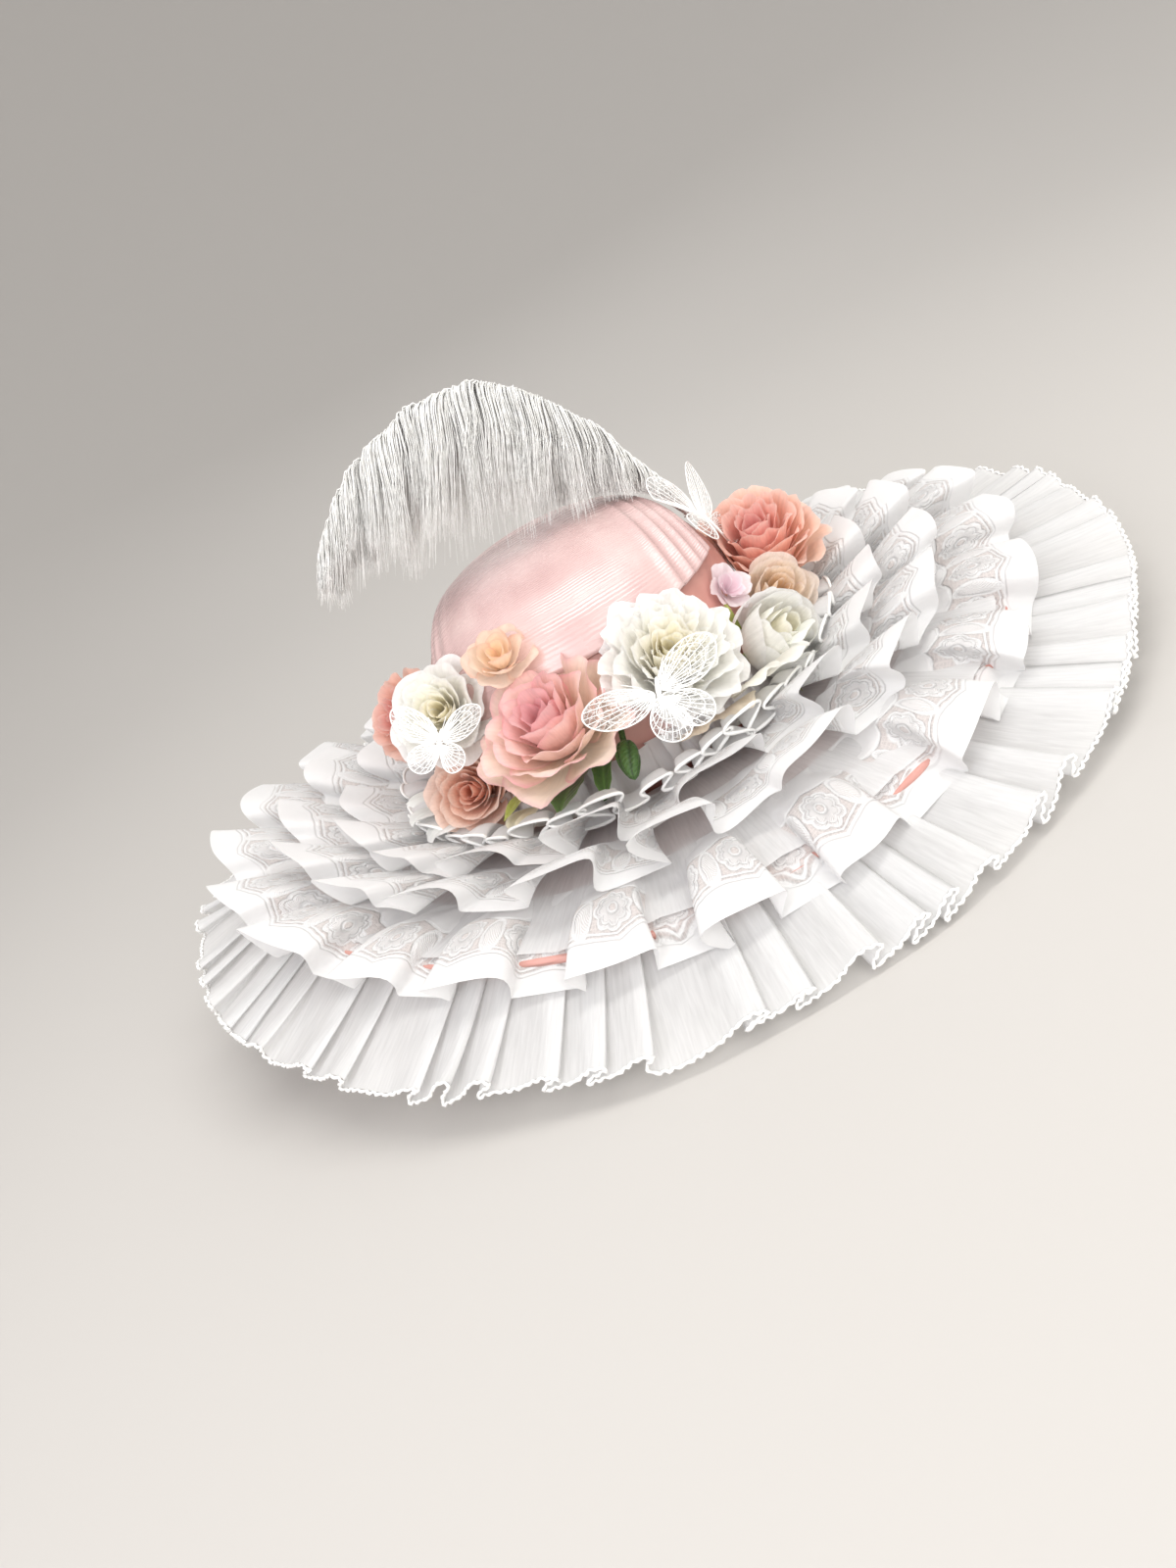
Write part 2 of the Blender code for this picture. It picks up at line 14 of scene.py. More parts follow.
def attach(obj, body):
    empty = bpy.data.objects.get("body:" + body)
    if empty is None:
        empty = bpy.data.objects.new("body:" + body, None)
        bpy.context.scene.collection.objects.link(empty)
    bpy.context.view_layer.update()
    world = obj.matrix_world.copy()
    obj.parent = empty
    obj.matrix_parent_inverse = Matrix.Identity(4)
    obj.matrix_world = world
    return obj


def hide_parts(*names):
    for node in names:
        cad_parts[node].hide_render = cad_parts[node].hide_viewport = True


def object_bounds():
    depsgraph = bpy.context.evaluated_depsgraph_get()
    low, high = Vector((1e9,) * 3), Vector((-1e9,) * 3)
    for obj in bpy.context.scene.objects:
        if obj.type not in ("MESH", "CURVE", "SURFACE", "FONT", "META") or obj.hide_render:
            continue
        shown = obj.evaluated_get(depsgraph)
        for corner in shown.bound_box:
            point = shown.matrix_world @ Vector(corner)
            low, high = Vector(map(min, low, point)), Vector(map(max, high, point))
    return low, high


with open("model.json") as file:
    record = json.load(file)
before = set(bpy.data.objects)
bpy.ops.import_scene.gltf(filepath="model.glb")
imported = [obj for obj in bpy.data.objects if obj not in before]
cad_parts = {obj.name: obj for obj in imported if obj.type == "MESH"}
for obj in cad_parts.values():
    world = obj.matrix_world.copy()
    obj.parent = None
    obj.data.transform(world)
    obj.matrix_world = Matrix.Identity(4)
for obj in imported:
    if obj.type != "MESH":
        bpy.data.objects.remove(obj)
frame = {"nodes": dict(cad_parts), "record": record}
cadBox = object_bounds()
mm = 0.001
wavePeriod = 2 * math.pi / 20    # metres between two bands of a wave texture at scale 1


# helpers

def linear(hexColour):
    # sRGB hex to linear RGBA
    channels = [int(hexColour[i:i + 2], 16) / 255 for i in (1, 3, 5)]
    return np.array([c / 12.92 if c <= 0.04045 else ((c + 0.055) / 1.055) ** 2.4 for c in channels] + [1.0])


def feed(tree, node, inputs):
    # an input is a value, a socket, or a node whose first output is used
    for key, value in inputs.items():
        if isinstance(value, bpy.types.Node):
            value = value.outputs[0]
        if isinstance(value, bpy.types.NodeSocket):
            tree.links.new(value, node.inputs[key])
        else:
            node.inputs[key].default_value = value


def addNode(tree, kind, inputs=None, **settings):
    node = tree.nodes.new(kind)
    for name, value in settings.items():
        setattr(node, name, value)
    feed(tree, node, inputs or {})
    return node


def newMaterial(name, values):
    material = bpy.data.materials.new(name)
    material.use_nodes = True
    shader = material.node_tree.nodes["Principled BSDF"]
    feed(material.node_tree, shader, values)
    return material, material.node_tree, shader


def letThrough(tree, shader, share, colour):
    # thin cloth also gives off some light on its far side
    far = addNode(tree, "ShaderNodeBsdfTranslucent", {"Color": colour})
    both = addNode(tree, "ShaderNodeMixShader", {0: share, 1: shader, 2: far})
    feed(tree, tree.nodes["Material Output"], {"Surface": both})


def setRamp(node, stops):
    ramp = node.color_ramp
    while len(ramp.elements) < len(stops):
        ramp.elements.new(0.5)
    for element, (place, colour) in zip(ramp.elements, stops):
        element.position = place
        element.color = linear(colour)


def makePiece(name, points, faces, material, uvs=None, tints=None):
    # uvs: one pair for each corner of each face, in metres of cloth; tints: one colour for each point
    mesh = bpy.data.meshes.new(name)
    mesh.from_pydata([tuple(p) for p in points], [], faces)
    if uvs is not None:
        layer = mesh.uv_layers.new(name="cloth")
        layer.data.foreach_set("uv", np.asarray(uvs, dtype=np.float32).reshape(-1))
    if tints is not None:
        layer = mesh.color_attributes.new(name="tint", type="FLOAT_COLOR", domain="POINT")
        layer.data.foreach_set("color", np.asarray(tints, dtype=np.float32).reshape(-1))
    mesh.materials.append(material)
    mesh.shade_smooth()
    piece = bpy.data.objects.new(name, mesh)
    bpy.context.scene.collection.objects.link(piece)
    return piece


def gridFaces(length, width, ring, start=0):
    # quads over a grid of points kept row by row; a ring closes on itself along its length
    faces = []
    for i in range(length if ring else length - 1):
        k = (i + 1) % length
        for j in range(width - 1):
            faces.append((start + i * width + j, start + k * width + j,
                          start + k * width + j + 1, start + i * width + j + 1))
    return faces


def gridUvs(length, width, ring, uvOf):
    # corner pairs for gridFaces; uvOf(i, j) also answers for i = length
    corners = []
    for i in range(length if ring else length - 1):
        for j in range(width - 1):
            corners += [uvOf(i, j), uvOf(i + 1, j), uvOf(i + 1, j + 1), uvOf(i, j + 1)]
    return corners


def withBack(faces, corners, under):
    # the second wall of a shell: the same grid, turned round, from point number "under" on
    back = [tuple(k + under for k in face[::-1]) for face in faces]
    return faces + back, corners + [c for n in range(0, len(corners), 4) for c in corners[n:n + 4][::-1]]


def dress(piece, slotName, *nodes):
    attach(piece, "root")
    if nodes:
        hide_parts(*nodes)
    return piece


def turnOut(piece):
    body = bmesh.new()
    body.from_mesh(piece.data)
    bmesh.ops.recalc_face_normals(body, faces=body.faces)
    body.to_mesh(piece.data)
    body.free()


def catmullRom(a, b, c, d, t):
    return 0.5 * (2 * b + (c - a) * t + (2 * a - 5 * b + 4 * c - d) * t * t
                  + (3 * b - a - 3 * c + d) * t ** 3)


def between(values, share):
    # smooth curve through evenly spaced values
    place = min(max(share, 0.0), 1.0) * (len(values) - 1)
    k = min(int(place), len(values) - 2)
    t = place - k
    b, c = values[k], values[k + 1]
    a = values[k - 1] if k else 2 * b - c
    d = values[k + 2] if k + 2 < len(values) else 2 * c - b
    return catmullRom(a, b, c, d, t)


def waves(start, azimuth, rows):
    # start and a sum of waves round the hat; each row: waves a turn, shift of phase, height
    for times, shift, high in rows:
        start += high * math.sin(times * azimuth + shift)
    return start


def around(reach, azimuth, height):
    return Vector((reach * math.cos(azimuth), reach * math.sin(azimuth), height))


def alongLengths(points):
    # lengths from the first point to each point
    steps = [0.0]
    for a, b in zip(points, points[1:]):
        steps.append(steps[-1] + (Vector(b) - Vector(a)).length)
    return steps


def clothLength(points, rows):
    # mean length round a ring of cloth, from its seam to its hem
    rings = [points[j::rows] for j in range(0, rows, max(1, rows // 6))] + [points[rows - 1::rows]]
    return float(np.mean([alongLengths(ring + ring[:1])[-1] for ring in rings]))


def makeCloth(name, points, rows, material, heights, *nodes):
    # a ring of cloth from its seam to its hem; heights are measured on the cloth, one for each row
    sections = len(points) // rows
    hem = points[rows - 1::rows]
    hemLength = alongLengths(hem + hem[:1])
    piece = makePiece(name, points, gridFaces(sections, rows, True), material,
                      gridUvs(sections, rows, True, lambda i, j: (hemLength[i], heights[j])))
    turnOut(piece)
    dress(piece, "white_chiffon", *nodes)
    return piece, hem, clothLength(points, rows)


# form of the hat, as in the CAD part

hat = {
    "halfWidth": 88 * mm, "halfLength": 100 * mm, "height": 114 * mm, "squareness": 3.0, "wall": 2 * mm,
    "foot": 3.3 * mm, "brimRadius": 207 * mm, "brimThick": 3 * mm, "rimSway": -14.6 * mm,
    "rimWave": 14.3 * mm,
}


def ovalRadius(azimuth, grow=0.0):
    return 1 / math.hypot(math.cos(azimuth) / (hat["halfWidth"] + grow),
                          math.sin(azimuth) / (hat["halfLength"] + grow))


def domePoint(azimuth, share, grow=0.0):
    n = hat["squareness"]
    height = (hat["height"] - hat["foot"] + grow) * max(0.0, 1 - share ** n) ** (1 / n)
    reach = ovalRadius(azimuth, grow) * share
    return around(reach, azimuth, hat["foot"] + height)


def domeShare(height, grow=0.0):
    n = hat["squareness"]
    part = (height - hat["foot"]) / (hat["height"] - hat["foot"] + grow)
    return (1 - min(1.0, max(0.0, part)) ** n) ** (1 / n)


def brimTop(azimuth, across):
    inner = ovalRadius(azimuth)
    reach = inner + (hat["brimRadius"] - inner) * across
    lift = hat["rimSway"] * math.cos(azimuth) + hat["rimWave"] * math.cos(2 * azimuth)
    return around(reach, azimuth, hat["brimThick"] + lift * max(0.0, across) ** 2)


# satin: polyester duchesse satin, heavy and smooth, with a broad soft sheen and faint cross ribs

def makeSatin(name, colours, ribGap, ribDepth, roughness):
    material, tree, shader = newMaterial(name, {"Specular IOR Level": 0.9, "IOR": 1.6, "Sheen Weight": 0.12,
                                                "Sheen Roughness": 0.35, "Anisotropic": 0.6})
    cloth = addNode(tree, "ShaderNodeUVMap", uv_map="cloth")
    ribs = addNode(tree, "ShaderNodeTexWave", {"Vector": cloth, "Scale": wavePeriod / ribGap,
                                               "Distortion": 1.2, "Detail": 1.0, "Detail Scale": 0.6},
                   wave_type="BANDS", bands_direction="Y")
    drift = addNode(tree, "ShaderNodeTexNoise", {"Vector": cloth, "Scale": 16.0, "Detail": 3.0})
    stretch = addNode(tree, "ShaderNodeMapping", {"Vector": cloth, "Scale": (25.0, 260.0, 1.0)})
    slub = addNode(tree, "ShaderNodeTexNoise", {"Vector": stretch, "Scale": 1.0, "Detail": 2.0})
    shade = addNode(tree, "ShaderNodeValToRGB", {"Fac": drift})
    setRamp(shade, [(0.32, colours[0]), (0.52, colours[1]), (0.70, colours[2])])
    gloss = addNode(tree, "ShaderNodeMapRange",
                    {0: slub, 1: 0.3, 2: 0.7, 3: roughness - 0.07, 4: roughness + 0.09})
    relief = addNode(tree, "ShaderNodeMath", {0: ribs.outputs[1], 1: slub.outputs[0]}, operation="ADD")
    bump = addNode(tree, "ShaderNodeBump", {"Height": relief, "Strength": 0.5, "Distance": ribDepth})
    feed(tree, shader, {"Base Color": shade, "Roughness": gloss, "Normal": bump})
    return material


roseSatin = makeSatin("dustyRoseSatin", ["#B87A70", "#C4877C", "#CE968B"], 0.8 * mm, 0.05 * mm, 0.38)
paleSatin = makeSatin("palePinkSatin", ["#C5A2A0", "#D2B2AF", "#DFC4C0"], 1.5 * mm, 0.16 * mm, 0.26)
print("satin ready")


# crown: oval dome, satin drawn over a stiff shape

crownLook = {"sections": 144, "rings": 34, "pull": 0.25 * mm, "clothRound": 0.095, "clothUp": 0.14}


def makeCrown():
    look = crownLook
    sections, rings = look["sections"], look["rings"]
    shares = [math.sin(math.pi / 2 * (1 - j / rings)) for j in range(rings)]
    points = []
    for wall, pull in ((0.0, look["pull"]), (-hat["wall"], 0.0)):
        for i in range(sections):
            azimuth = 2 * math.pi * i / sections
            for j, share in enumerate(shares):
                slack = pull * math.sin(9 * azimuth + 4 * share) * math.sin(math.pi * share)
                p = domePoint(azimuth, share, wall + slack)
                if wall and j == 0:
                    p.z = hat["foot"]
                points.append(p)

    def uvOf(i, j):
        return (2 * math.pi * i / sections * look["clothRound"], shares[j] * look["clothUp"])

    under = sections * rings
    faces, uvs = withBack(gridFaces(sections, rings, True), gridUvs(sections, rings, True, uvOf), under)
    points += [domePoint(0, 0.0), domePoint(0, 0.0, -hat["wall"])]
    apex, inside = len(points) - 2, len(points) - 1
    for i in range(sections):
        a, b = i * rings, ((i + 1) % sections) * rings
        faces.append((a, under + a, under + b, b))
        uvs += [(0, 0)] * 4
        a, b = a + rings - 1, b + rings - 1
        faces += [(a, b, apex), (under + b, under + a, inside)]
        uvs += [uvOf(i, rings - 1), uvOf(i + 1, rings - 1), (0, 0)] * 2
    return dress(makePiece("crown_satin", points, faces, roseSatin, uvs), "rose_satin", "crown")


makeCrown()

# brim: flat ring covered in satin, its rim bound with a bias strip

brimLook = {"sections": 220, "lanes": 26, "inner": -0.015, "bindWidth": 9 * mm, "bindRise": 0.45 * mm,
            "bindEase": 0.6 * mm, "edgeRound": 1.9 * mm, "clothRound": 0.15, "laneWide": 4.6 * mm}


def makeBrim():
    look = brimLook
    sections, lanes, inner = look["sections"], look["lanes"], look["inner"]
    points = []
    for i in range(sections):
        azimuth = 2 * math.pi * i / sections
        wide = hat["brimRadius"] - ovalRadius(azimuth)
        for face in (1, -1):
            for j in range(lanes):
                lane = j if face > 0 else lanes - 1 - j
                across = inner + (1 - inner) * math.sin(math.pi / 2 * lane / (lanes - 1)) ** 0.9
                edge = (1 - across) * wide
                bound = look["bindRise"] * min(1.0, max(0.0, (look["bindWidth"] - edge) / look["bindEase"]))
                rounding = math.sqrt(max(0.0, 1 - max(0.0, 1 - edge / look["edgeRound"]) ** 2))
                half = (hat["brimThick"] / 2 + bound) * (rounding if across > 0.5 else 1.0)
                p = brimTop(azimuth, across)
                p.z += -hat["brimThick"] / 2 + face * half
                points.append(p)
    width = 2 * lanes
    faces, uvs = [], []
    for i in range(sections):
        k = (i + 1) % sections
        for j in range(width):
            m = (j + 1) % width
            faces.append((k * width + j, k * width + m, i * width + m, i * width + j))
            low, high = [min(a, width - 1 - a) * look["laneWide"] for a in (j, m)]
            near, far = [2 * math.pi * a / sections * look["clothRound"] for a in (i, i + 1)]
            uvs += [(far, low), (far, high), (near, high), (near, low)]
    return dress(makePiece("brim_satin", points, faces, roseSatin, uvs), "rose_satin", "brim")


makeBrim()
print("crown and brim ready")

# sash: pale satin drape, tucked together at its right end and eased into small folds at its left

sashLook = {
    "lowAzimuth": (203, 335), "lowHeight": (50, 72), "highAzimuth": (168, 18), "standOff": 1.7 * mm,
    "cloth": 0.9 * mm, "columns": 210, "rows": 60, "flat": (0.24, 0.105), "clothAcross": 0.30,
    "clothUp": 0.16,
    # place along the sash, height, half width of each fold
    "tucks": [(0.79, 1.8, 0.016), (0.845, 2.6, 0.014), (0.895, 2.4, 0.013), (0.945, 2.8, 0.014),
              (0.985, 1.6, 0.010)],
    "eases": [(0.015, 1.0, 0.012), (0.055, 1.4, 0.014), (0.11, 0.9, 0.02)],
}


def sashPoint(u, v, lift):
    look = sashLook
    (lowFrom, lowTo), (highFrom, highTo), (leftHeight, height) = (
        look[k] for k in ("lowAzimuth", "highAzimuth", "lowHeight"))
    lowAzimuth = math.radians(lowFrom + (lowTo - lowFrom) * u)
    lowHeight = (leftHeight + (height - leftHeight) * min(1.0, u / 0.35)) * mm
    highAzimuth = math.radians(highFrom + (highTo - highFrom) * u)
    low, high = domeShare(lowHeight), 0.45 + 0.2 * abs(2 * u - 1)
    x = (1 - v) * low * math.cos(lowAzimuth) + v * high * math.cos(highAzimuth)
    y = (1 - v) * low * math.sin(lowAzimuth) + v * high * math.sin(highAzimuth)
    azimuth = math.atan2(y * hat["halfLength"], x * hat["halfWidth"])
    rise = 0.0
    for place, height, half in look["tucks"]:
        lean = (u - place - 0.03 * v) / half             # a knife fold: steep on one side
        rise += height * (math.exp(-lean * lean * (0.6 if lean < 0 else 3.0))) * (1 - v) ** 1.1
    for place, height, half in look["eases"]:
        rise += height * math.exp(-((u - place - 0.02 * v) / half) ** 2) * (1 - 0.8 * v)
    rise += 0.35 * math.sin(9 * v + 5 * u) * math.sin(math.pi * v) * math.sin(math.pi * min(1.0, 1.1 * u))
    return domePoint(azimuth, math.hypot(x, y), look["standOff"] + lift + rise * mm)


def makeSash():
    look = sashLook
    columns, rows = look["columns"], look["rows"]
    ups = [(j / (rows - 1)) ** 1.25 for j in range(rows)]
    points = [sashPoint(i / (columns - 1), v, lift)
              for lift in (look["cloth"], 0.0) for i in range(columns) for v in ups]

    def uvOf(i, j):
        return (look["clothAcross"] * i / (columns - 1), look["clothUp"] * (j / (rows - 1)) ** 1.25)

    under = columns * rows
    faces, uvs = withBack(gridFaces(columns, rows, False), gridUvs(columns, rows, False, uvOf), under)
    edge = [i * rows for i in range(columns)] + [(columns - 1) * rows + j for j in range(1, rows)]
    edge += [i * rows + rows - 1 for i in range(columns - 2, -1, -1)] + [j for j in range(rows - 2, 0, -1)]
    for n, a in enumerate(edge):
        b = edge[(n + 1) % len(edge)]
        faces.append((b, a, under + a, under + b))
        uvs += [(0, 0)] * 4
    piece = makePiece("crown_sash_satin", points, faces, paleSatin, uvs)
    turnOut(piece)
    dress(piece, "pale_satin", "crown_sash")


makeSash()
print("sash ready")


# chiffon: crinkled polyester chiffon, dull white and half see-through, with fine crinkles down its length

def makeChiffon(name, thin, dense, crinkleGap):
    material, tree, shader = newMaterial(name, {"Base Color": linear("#ECECEC"), "Roughness": 0.75,
                                                "Sheen Weight": 0.35, "Specular IOR Level": 0.25})
    cloth = addNode(tree, "ShaderNodeUVMap", uv_map="cloth")
    stretch = addNode(tree, "ShaderNodeMapping", {"Vector": cloth, "Scale": (1 / crinkleGap, 55.0, 1.0)})
    crinkle = addNode(tree, "ShaderNodeTexNoise", {"Vector": stretch, "Scale": 1.0, "Detail": 3.0,
                                                   "Distortion": 0.4})
    bump = addNode(tree, "ShaderNodeBump", {"Height": crinkle, "Strength": 0.5, "Distance": 0.3 * mm})
    thick = addNode(tree, "ShaderNodeMapRange", {0: crinkle, 1: 0.3, 2: 0.7, 3: thin, 4: dense})
    feed(tree, shader, {"Normal": bump, "Alpha": thick})
    letThrough(tree, shader, 0.30, linear("#F4F4F4"))
    return material


crinkleChiffon = makeChiffon("crinkleChiffon", 0.72, 0.86, 1.6 * mm)
softChiffon = makeChiffon("softChiffon", 0.90, 0.98, 3.0 * mm)


# lace: chiffon with a machine-embroidered band on tulle; cords and filled petals stand proud of the net
# and catch the low light; the net is drawn at twice its real mesh, so that it shows

# all in mm: round flowers and upright leaves by turns, between two scalloped cords
laceLook = {
    "cell": 38.0, "flowerHigh": 27.0, "flower": 9.6, "lobe": 1.8, "eye": 3.0, "leafWide": 5.4,
    "leafLong": 10.5, "bandLow": 10.5, "bandHigh": 44.0, "wave": 4.5, "cord": 0.95, "pair": 2.6,
    "net": 1.8,
}


def makeLace():
    material, tree, shader = newMaterial("embroideredLace", {"Roughness": 0.7, "Sheen Weight": 0.3,
                                                             "Specular IOR Level": 0.3})
    look = laceLook
    cloth = addNode(tree, "ShaderNodeUVMap", uv_map="cloth")
    wander = addNode(tree, "ShaderNodeTexNoise", {"Vector": cloth, "Scale": 70.0, "Detail": 1.0})
    loose = addNode(tree, "ShaderNodeVectorMath", {0: wander.outputs[1], 1: (0.5, 0.5, 0.5)},
                    operation="SUBTRACT")
    eased = addNode(tree, "ShaderNodeVectorMath", {0: loose, 1: (3.0, 3.0, 0.0)}, operation="MULTIPLY")
    inMm = addNode(tree, "ShaderNodeVectorMath", {0: cloth, 1: (1000.0, 1000.0, 0.0)}, operation="MULTIPLY")
    hand = addNode(tree, "ShaderNodeVectorMath", {0: inMm, 1: eased}, operation="ADD")
    place = addNode(tree, "ShaderNodeSeparateXYZ", {0: hand})
    seeds = addNode(tree, "ShaderNodeTexVoronoi", {"Vector": hand, "Scale": 0.62}, feature="F1")
    net = addNode(tree, "ShaderNodeTexVoronoi",
                  {"Vector": hand, "Scale": 1 / look["net"], "Randomness": 0.25}, feature="DISTANCE_TO_EDGE")
    weave = addNode(tree, "ShaderNodeTexNoise", {"Vector": inMm, "Scale": 0.5, "Detail": 3.0})
    made = {"u": place.outputs[0], "v": place.outputs[1], "seedGap": seeds.outputs[0],
            "netGap": net.outputs[0], "weave": weave.outputs[0], "cords": 0.0}
    slope, top = -1 / (0.9 * look["cord"]), 1.667
    # each line: the value's name, what is done, and to which values; a name in "cord" is held between 0 and 1
    steps = [
        ("cells", "DIVIDE", "u", look["cell"]), ("cellPart", "FRACT", "cells"),
        ("cellSide", "SUBTRACT", "cellPart", 0.5), ("across", "MULTIPLY", "cellSide", look["cell"]),
        ("rise", "SUBTRACT", "v", look["flowerHigh"]), ("nextCells", "ADD", "cells", 0.5),
        ("nextPart", "FRACT", "nextCells"), ("nextSide", "SUBTRACT", "nextPart", 0.5),
        ("aside", "MULTIPLY", "nextSide", look["cell"]),
        # round flower: a lobed rim, a second cord inside it, and an open eye
        ("acrossTwice", "MULTIPLY", "across", "across"), ("riseTwice", "MULTIPLY", "rise", "rise"),
        ("reachTwice", "ADD", "acrossTwice", "riseTwice"), ("reach", "SQRT", "reachTwice"),
        ("turn", "ARCTAN2", "rise", "across"), ("lobeTurn", "MULTIPLY", "turn", 4.0),
        ("lobeWave", "COSINE", "lobeTurn"), ("lobe", "ABSOLUTE", "lobeWave"),
        ("lobeOut", "MULTIPLY", "lobe", look["lobe"]), ("rim", "ADD", "lobeOut", look["flower"]),
        ("fromRim", "SUBTRACT", "reach", "rim"), ("fromSecond", "ADD", "fromRim", look["pair"]),
        ("fromEye", "SUBTRACT", "reach", look["eye"]), ("inFlower", "LESS_THAN", "fromRim", 0.0),
        ("pastEye", "GREATER_THAN", "fromEye", 0.0), ("flowerFill", "MULTIPLY", "inFlower", "pastEye"),
        # upright leaf between two flowers
        ("leafRise", "DIVIDE", "rise", look["leafLong"]),
        ("leafSide", "DIVIDE", "aside", look["leafWide"]),
        ("leafRiseTwice", "MULTIPLY", "leafRise", "leafRise"),
        ("leafSideTwice", "MULTIPLY", "leafSide", "leafSide"),
        ("leafBoth", "ADD", "leafRiseTwice", "leafSideTwice"), ("leafFar", "SQRT", "leafBoth"),
        ("leafFill", "LESS_THAN", "leafFar", 1.0), ("fromLeaf", "SUBTRACT", "leafFar", 1.0),
        # scalloped cords along both edges of the band
        ("waveTurn", "MULTIPLY", "cells", math.pi), ("waveSide", "COSINE", "waveTurn"),
        ("waveUp", "ABSOLUTE", "waveSide"), ("wave", "MULTIPLY", "waveUp", look["wave"]),
        ("low", "ADD", "wave", look["bandLow"]), ("fromLow", "SUBTRACT", "v", "low"),
        ("fromNext", "SUBTRACT", "fromLow", look["pair"]), ("raised", "ADD", "v", "wave"),
        ("fromHigh", "SUBTRACT", "raised", look["bandHigh"]), ("pastLow", "GREATER_THAN", "fromLow", 0.0),
        ("underHigh", "LESS_THAN", "fromHigh", 0.0), ("inBand", "MULTIPLY", "pastLow", "underHigh"),
    ]
    # cords lie where a line is near; steep is the share of the plain slope, so a high one gives a thin cord
    for name, steep in (("Rim", 1.0), ("Second", 1.4), ("Eye", 1.2), ("Leaf", look["leafWide"]), ("Low", 1.0),
                        ("Next", 1.4), ("High", 1.0)):
        steps += [("gap" + name, "ABSOLUTE", "from" + name),
                  ("cord" + name, "MULTIPLY_ADD", "gap" + name, slope * steep, top),
                  ("cords", "MAXIMUM", "cords", "cord" + name)]
    steps += [
        # satin stitch fills the motifs, and loose seed stitches and net lie between them
        ("motif", "MAXIMUM", "flowerFill", "leafFill"), ("fill", "MULTIPLY", "motif", "inBand"),
        ("spiral", "MULTIPLY", "reach", 0.12), ("stitchTurn", "ADD", "turn", "spiral"),
        ("stitches", "MULTIPLY", "stitchTurn", 22.0), ("stitchWave", "SINE", "stitches"),
        ("stitch", "ABSOLUTE", "stitchWave"), ("stitchHigh", "MULTIPLY_ADD", "stitch", 0.4, 0.35),
        ("fillHigh", "MULTIPLY", "fill", "stitchHigh"), ("seed", "SUBTRACT", 1.0, "seedGap"),
        ("cordNet", "MULTIPLY_ADD", "netGap", -7.0, 1.4), ("netHigh", "MULTIPLY", "cordNet", 0.2),
        ("seedHigh", "MULTIPLY_ADD", "seed", 0.35, "netHigh"), ("open", "SUBTRACT", 1.0, "fill"),
        ("between", "MULTIPLY", "seedHigh", "open"), ("betweenHigh", "MULTIPLY", "between", "inBand"),
        ("motifHigh", "ADD", "fillHigh", "betweenHigh"), ("bandHigh", "ADD", "motifHigh", "cords"),
        ("relief", "MULTIPLY_ADD", "weave", 0.18, "bandHigh"),
        # cover: the plain chiffon and the stitches are dense, the net is open
        ("plain", "SUBTRACT", 1.0, "inBand"), ("plainCover", "MULTIPLY", "plain", 0.90),
        ("netCover", "MULTIPLY_ADD", "cordNet", 0.18, 0.78),
        ("seedCover", "MULTIPLY_ADD", "seed", 0.16, "netCover"),
        ("openCover", "MULTIPLY", "inBand", "seedCover"),
        ("clothCover", "ADD", "plainCover", "openCover"), ("stitched", "MAXIMUM", "cords", "fill"),
        ("cover", "MAXIMUM", "clothCover", "stitched"),
        # shade: the net's own tint is a little darker and pinker than the raised threads, and the gaps between
        # the satin stitches are painted darker as shade
        ("netOnly", "MULTIPLY", "inBand", "open"), ("stitchSide", "SUBTRACT", 1.0, "stitch"),
        ("paintedStitchGapShade", "MULTIPLY", "fill", "stitchSide"),
        ("dim", "MULTIPLY_ADD", "paintedStitchGapShade", 0.8, "netOnly"), ("bare", "SUBTRACT", 1.0, "cords"),
        ("shade", "MULTIPLY", "dim", "bare"),
    ]
    for name, operation, *given in steps:
        inputs = {k: made[value] if isinstance(value, str) else value for k, value in enumerate(given)}
        step = addNode(tree, "ShaderNodeMath", inputs, operation=operation, use_clamp="cord" in name)
        made[name] = step.outputs[0]
    bump = addNode(tree, "ShaderNodeBump", {"Height": made["relief"], "Strength": 0.9, "Distance": 0.75 * mm})
    # white threads go towards #DED7D4 on the net by its own tint, and between the stitches by painted shade
    tint = addNode(tree, "ShaderNodeMix", {0: made["shade"], 6: linear("#F3F3F3"), 7: linear("#DED7D4")},
                   data_type="RGBA")
    feed(tree, shader, {"Normal": bump, "Alpha": made["cover"], "Base Color": tint.outputs[2]})
    letThrough(tree, shader, 0.25, linear("#F4F4F4"))
    return material


embroideredLace = makeLace()
print("chiffon and lace ready")

# ruffles: three gathered tiers; each has values at its inner edge, its gathering seam, its middle and its hem
# across: shares of the brim's width; rise and the folds' swing in mm; overhang: how far a fold bends over
# cling: height over the brim of a hem that reaches past the rim; lift at the right and sag in front, all in mm
ruffleLook = {"perFold": 32, "rows": 30, "left": math.radians(225), "right": math.radians(40),
              "front": math.radians(265), "leftReach": 0.045, "clear": 1.0}
ruffleRows = [
    {"name": "outer_ruffle", "across": (0.60, 0.65, 0.87, 1.12), "rise": (2.4, 4.0, 10.5, 8.0),
     "swing": (0.3, 1.8, 6.6, 9.5), "folds": 23, "turn": 0.0, "overhang": 8.4,
     "cling": -4.5, "lift": 9.0, "sag": 8.5},
    {"name": "middle_ruffle", "across": (0.34, 0.38, 0.60, 0.80), "rise": (2.4, 5.0, 16.0, 23.0),
     "swing": (0.3, 1.8, 6.6, 9.8), "folds": 19, "turn": 0.4, "overhang": 8.8,
     "cling": 6.0, "lift": 7.0, "sag": 0.0},
    {"name": "inner_ruffle", "across": (0.10, 0.13, 0.34, 0.54), "rise": (3.2, 5.0, 15.0, 23.0),
     "swing": (0.3, 1.6, 5.8, 9.4), "folds": 17, "turn": 1.1, "overhang": 7.8,
     "cling": 6.0, "lift": 4.0, "sag": 0.0},
]


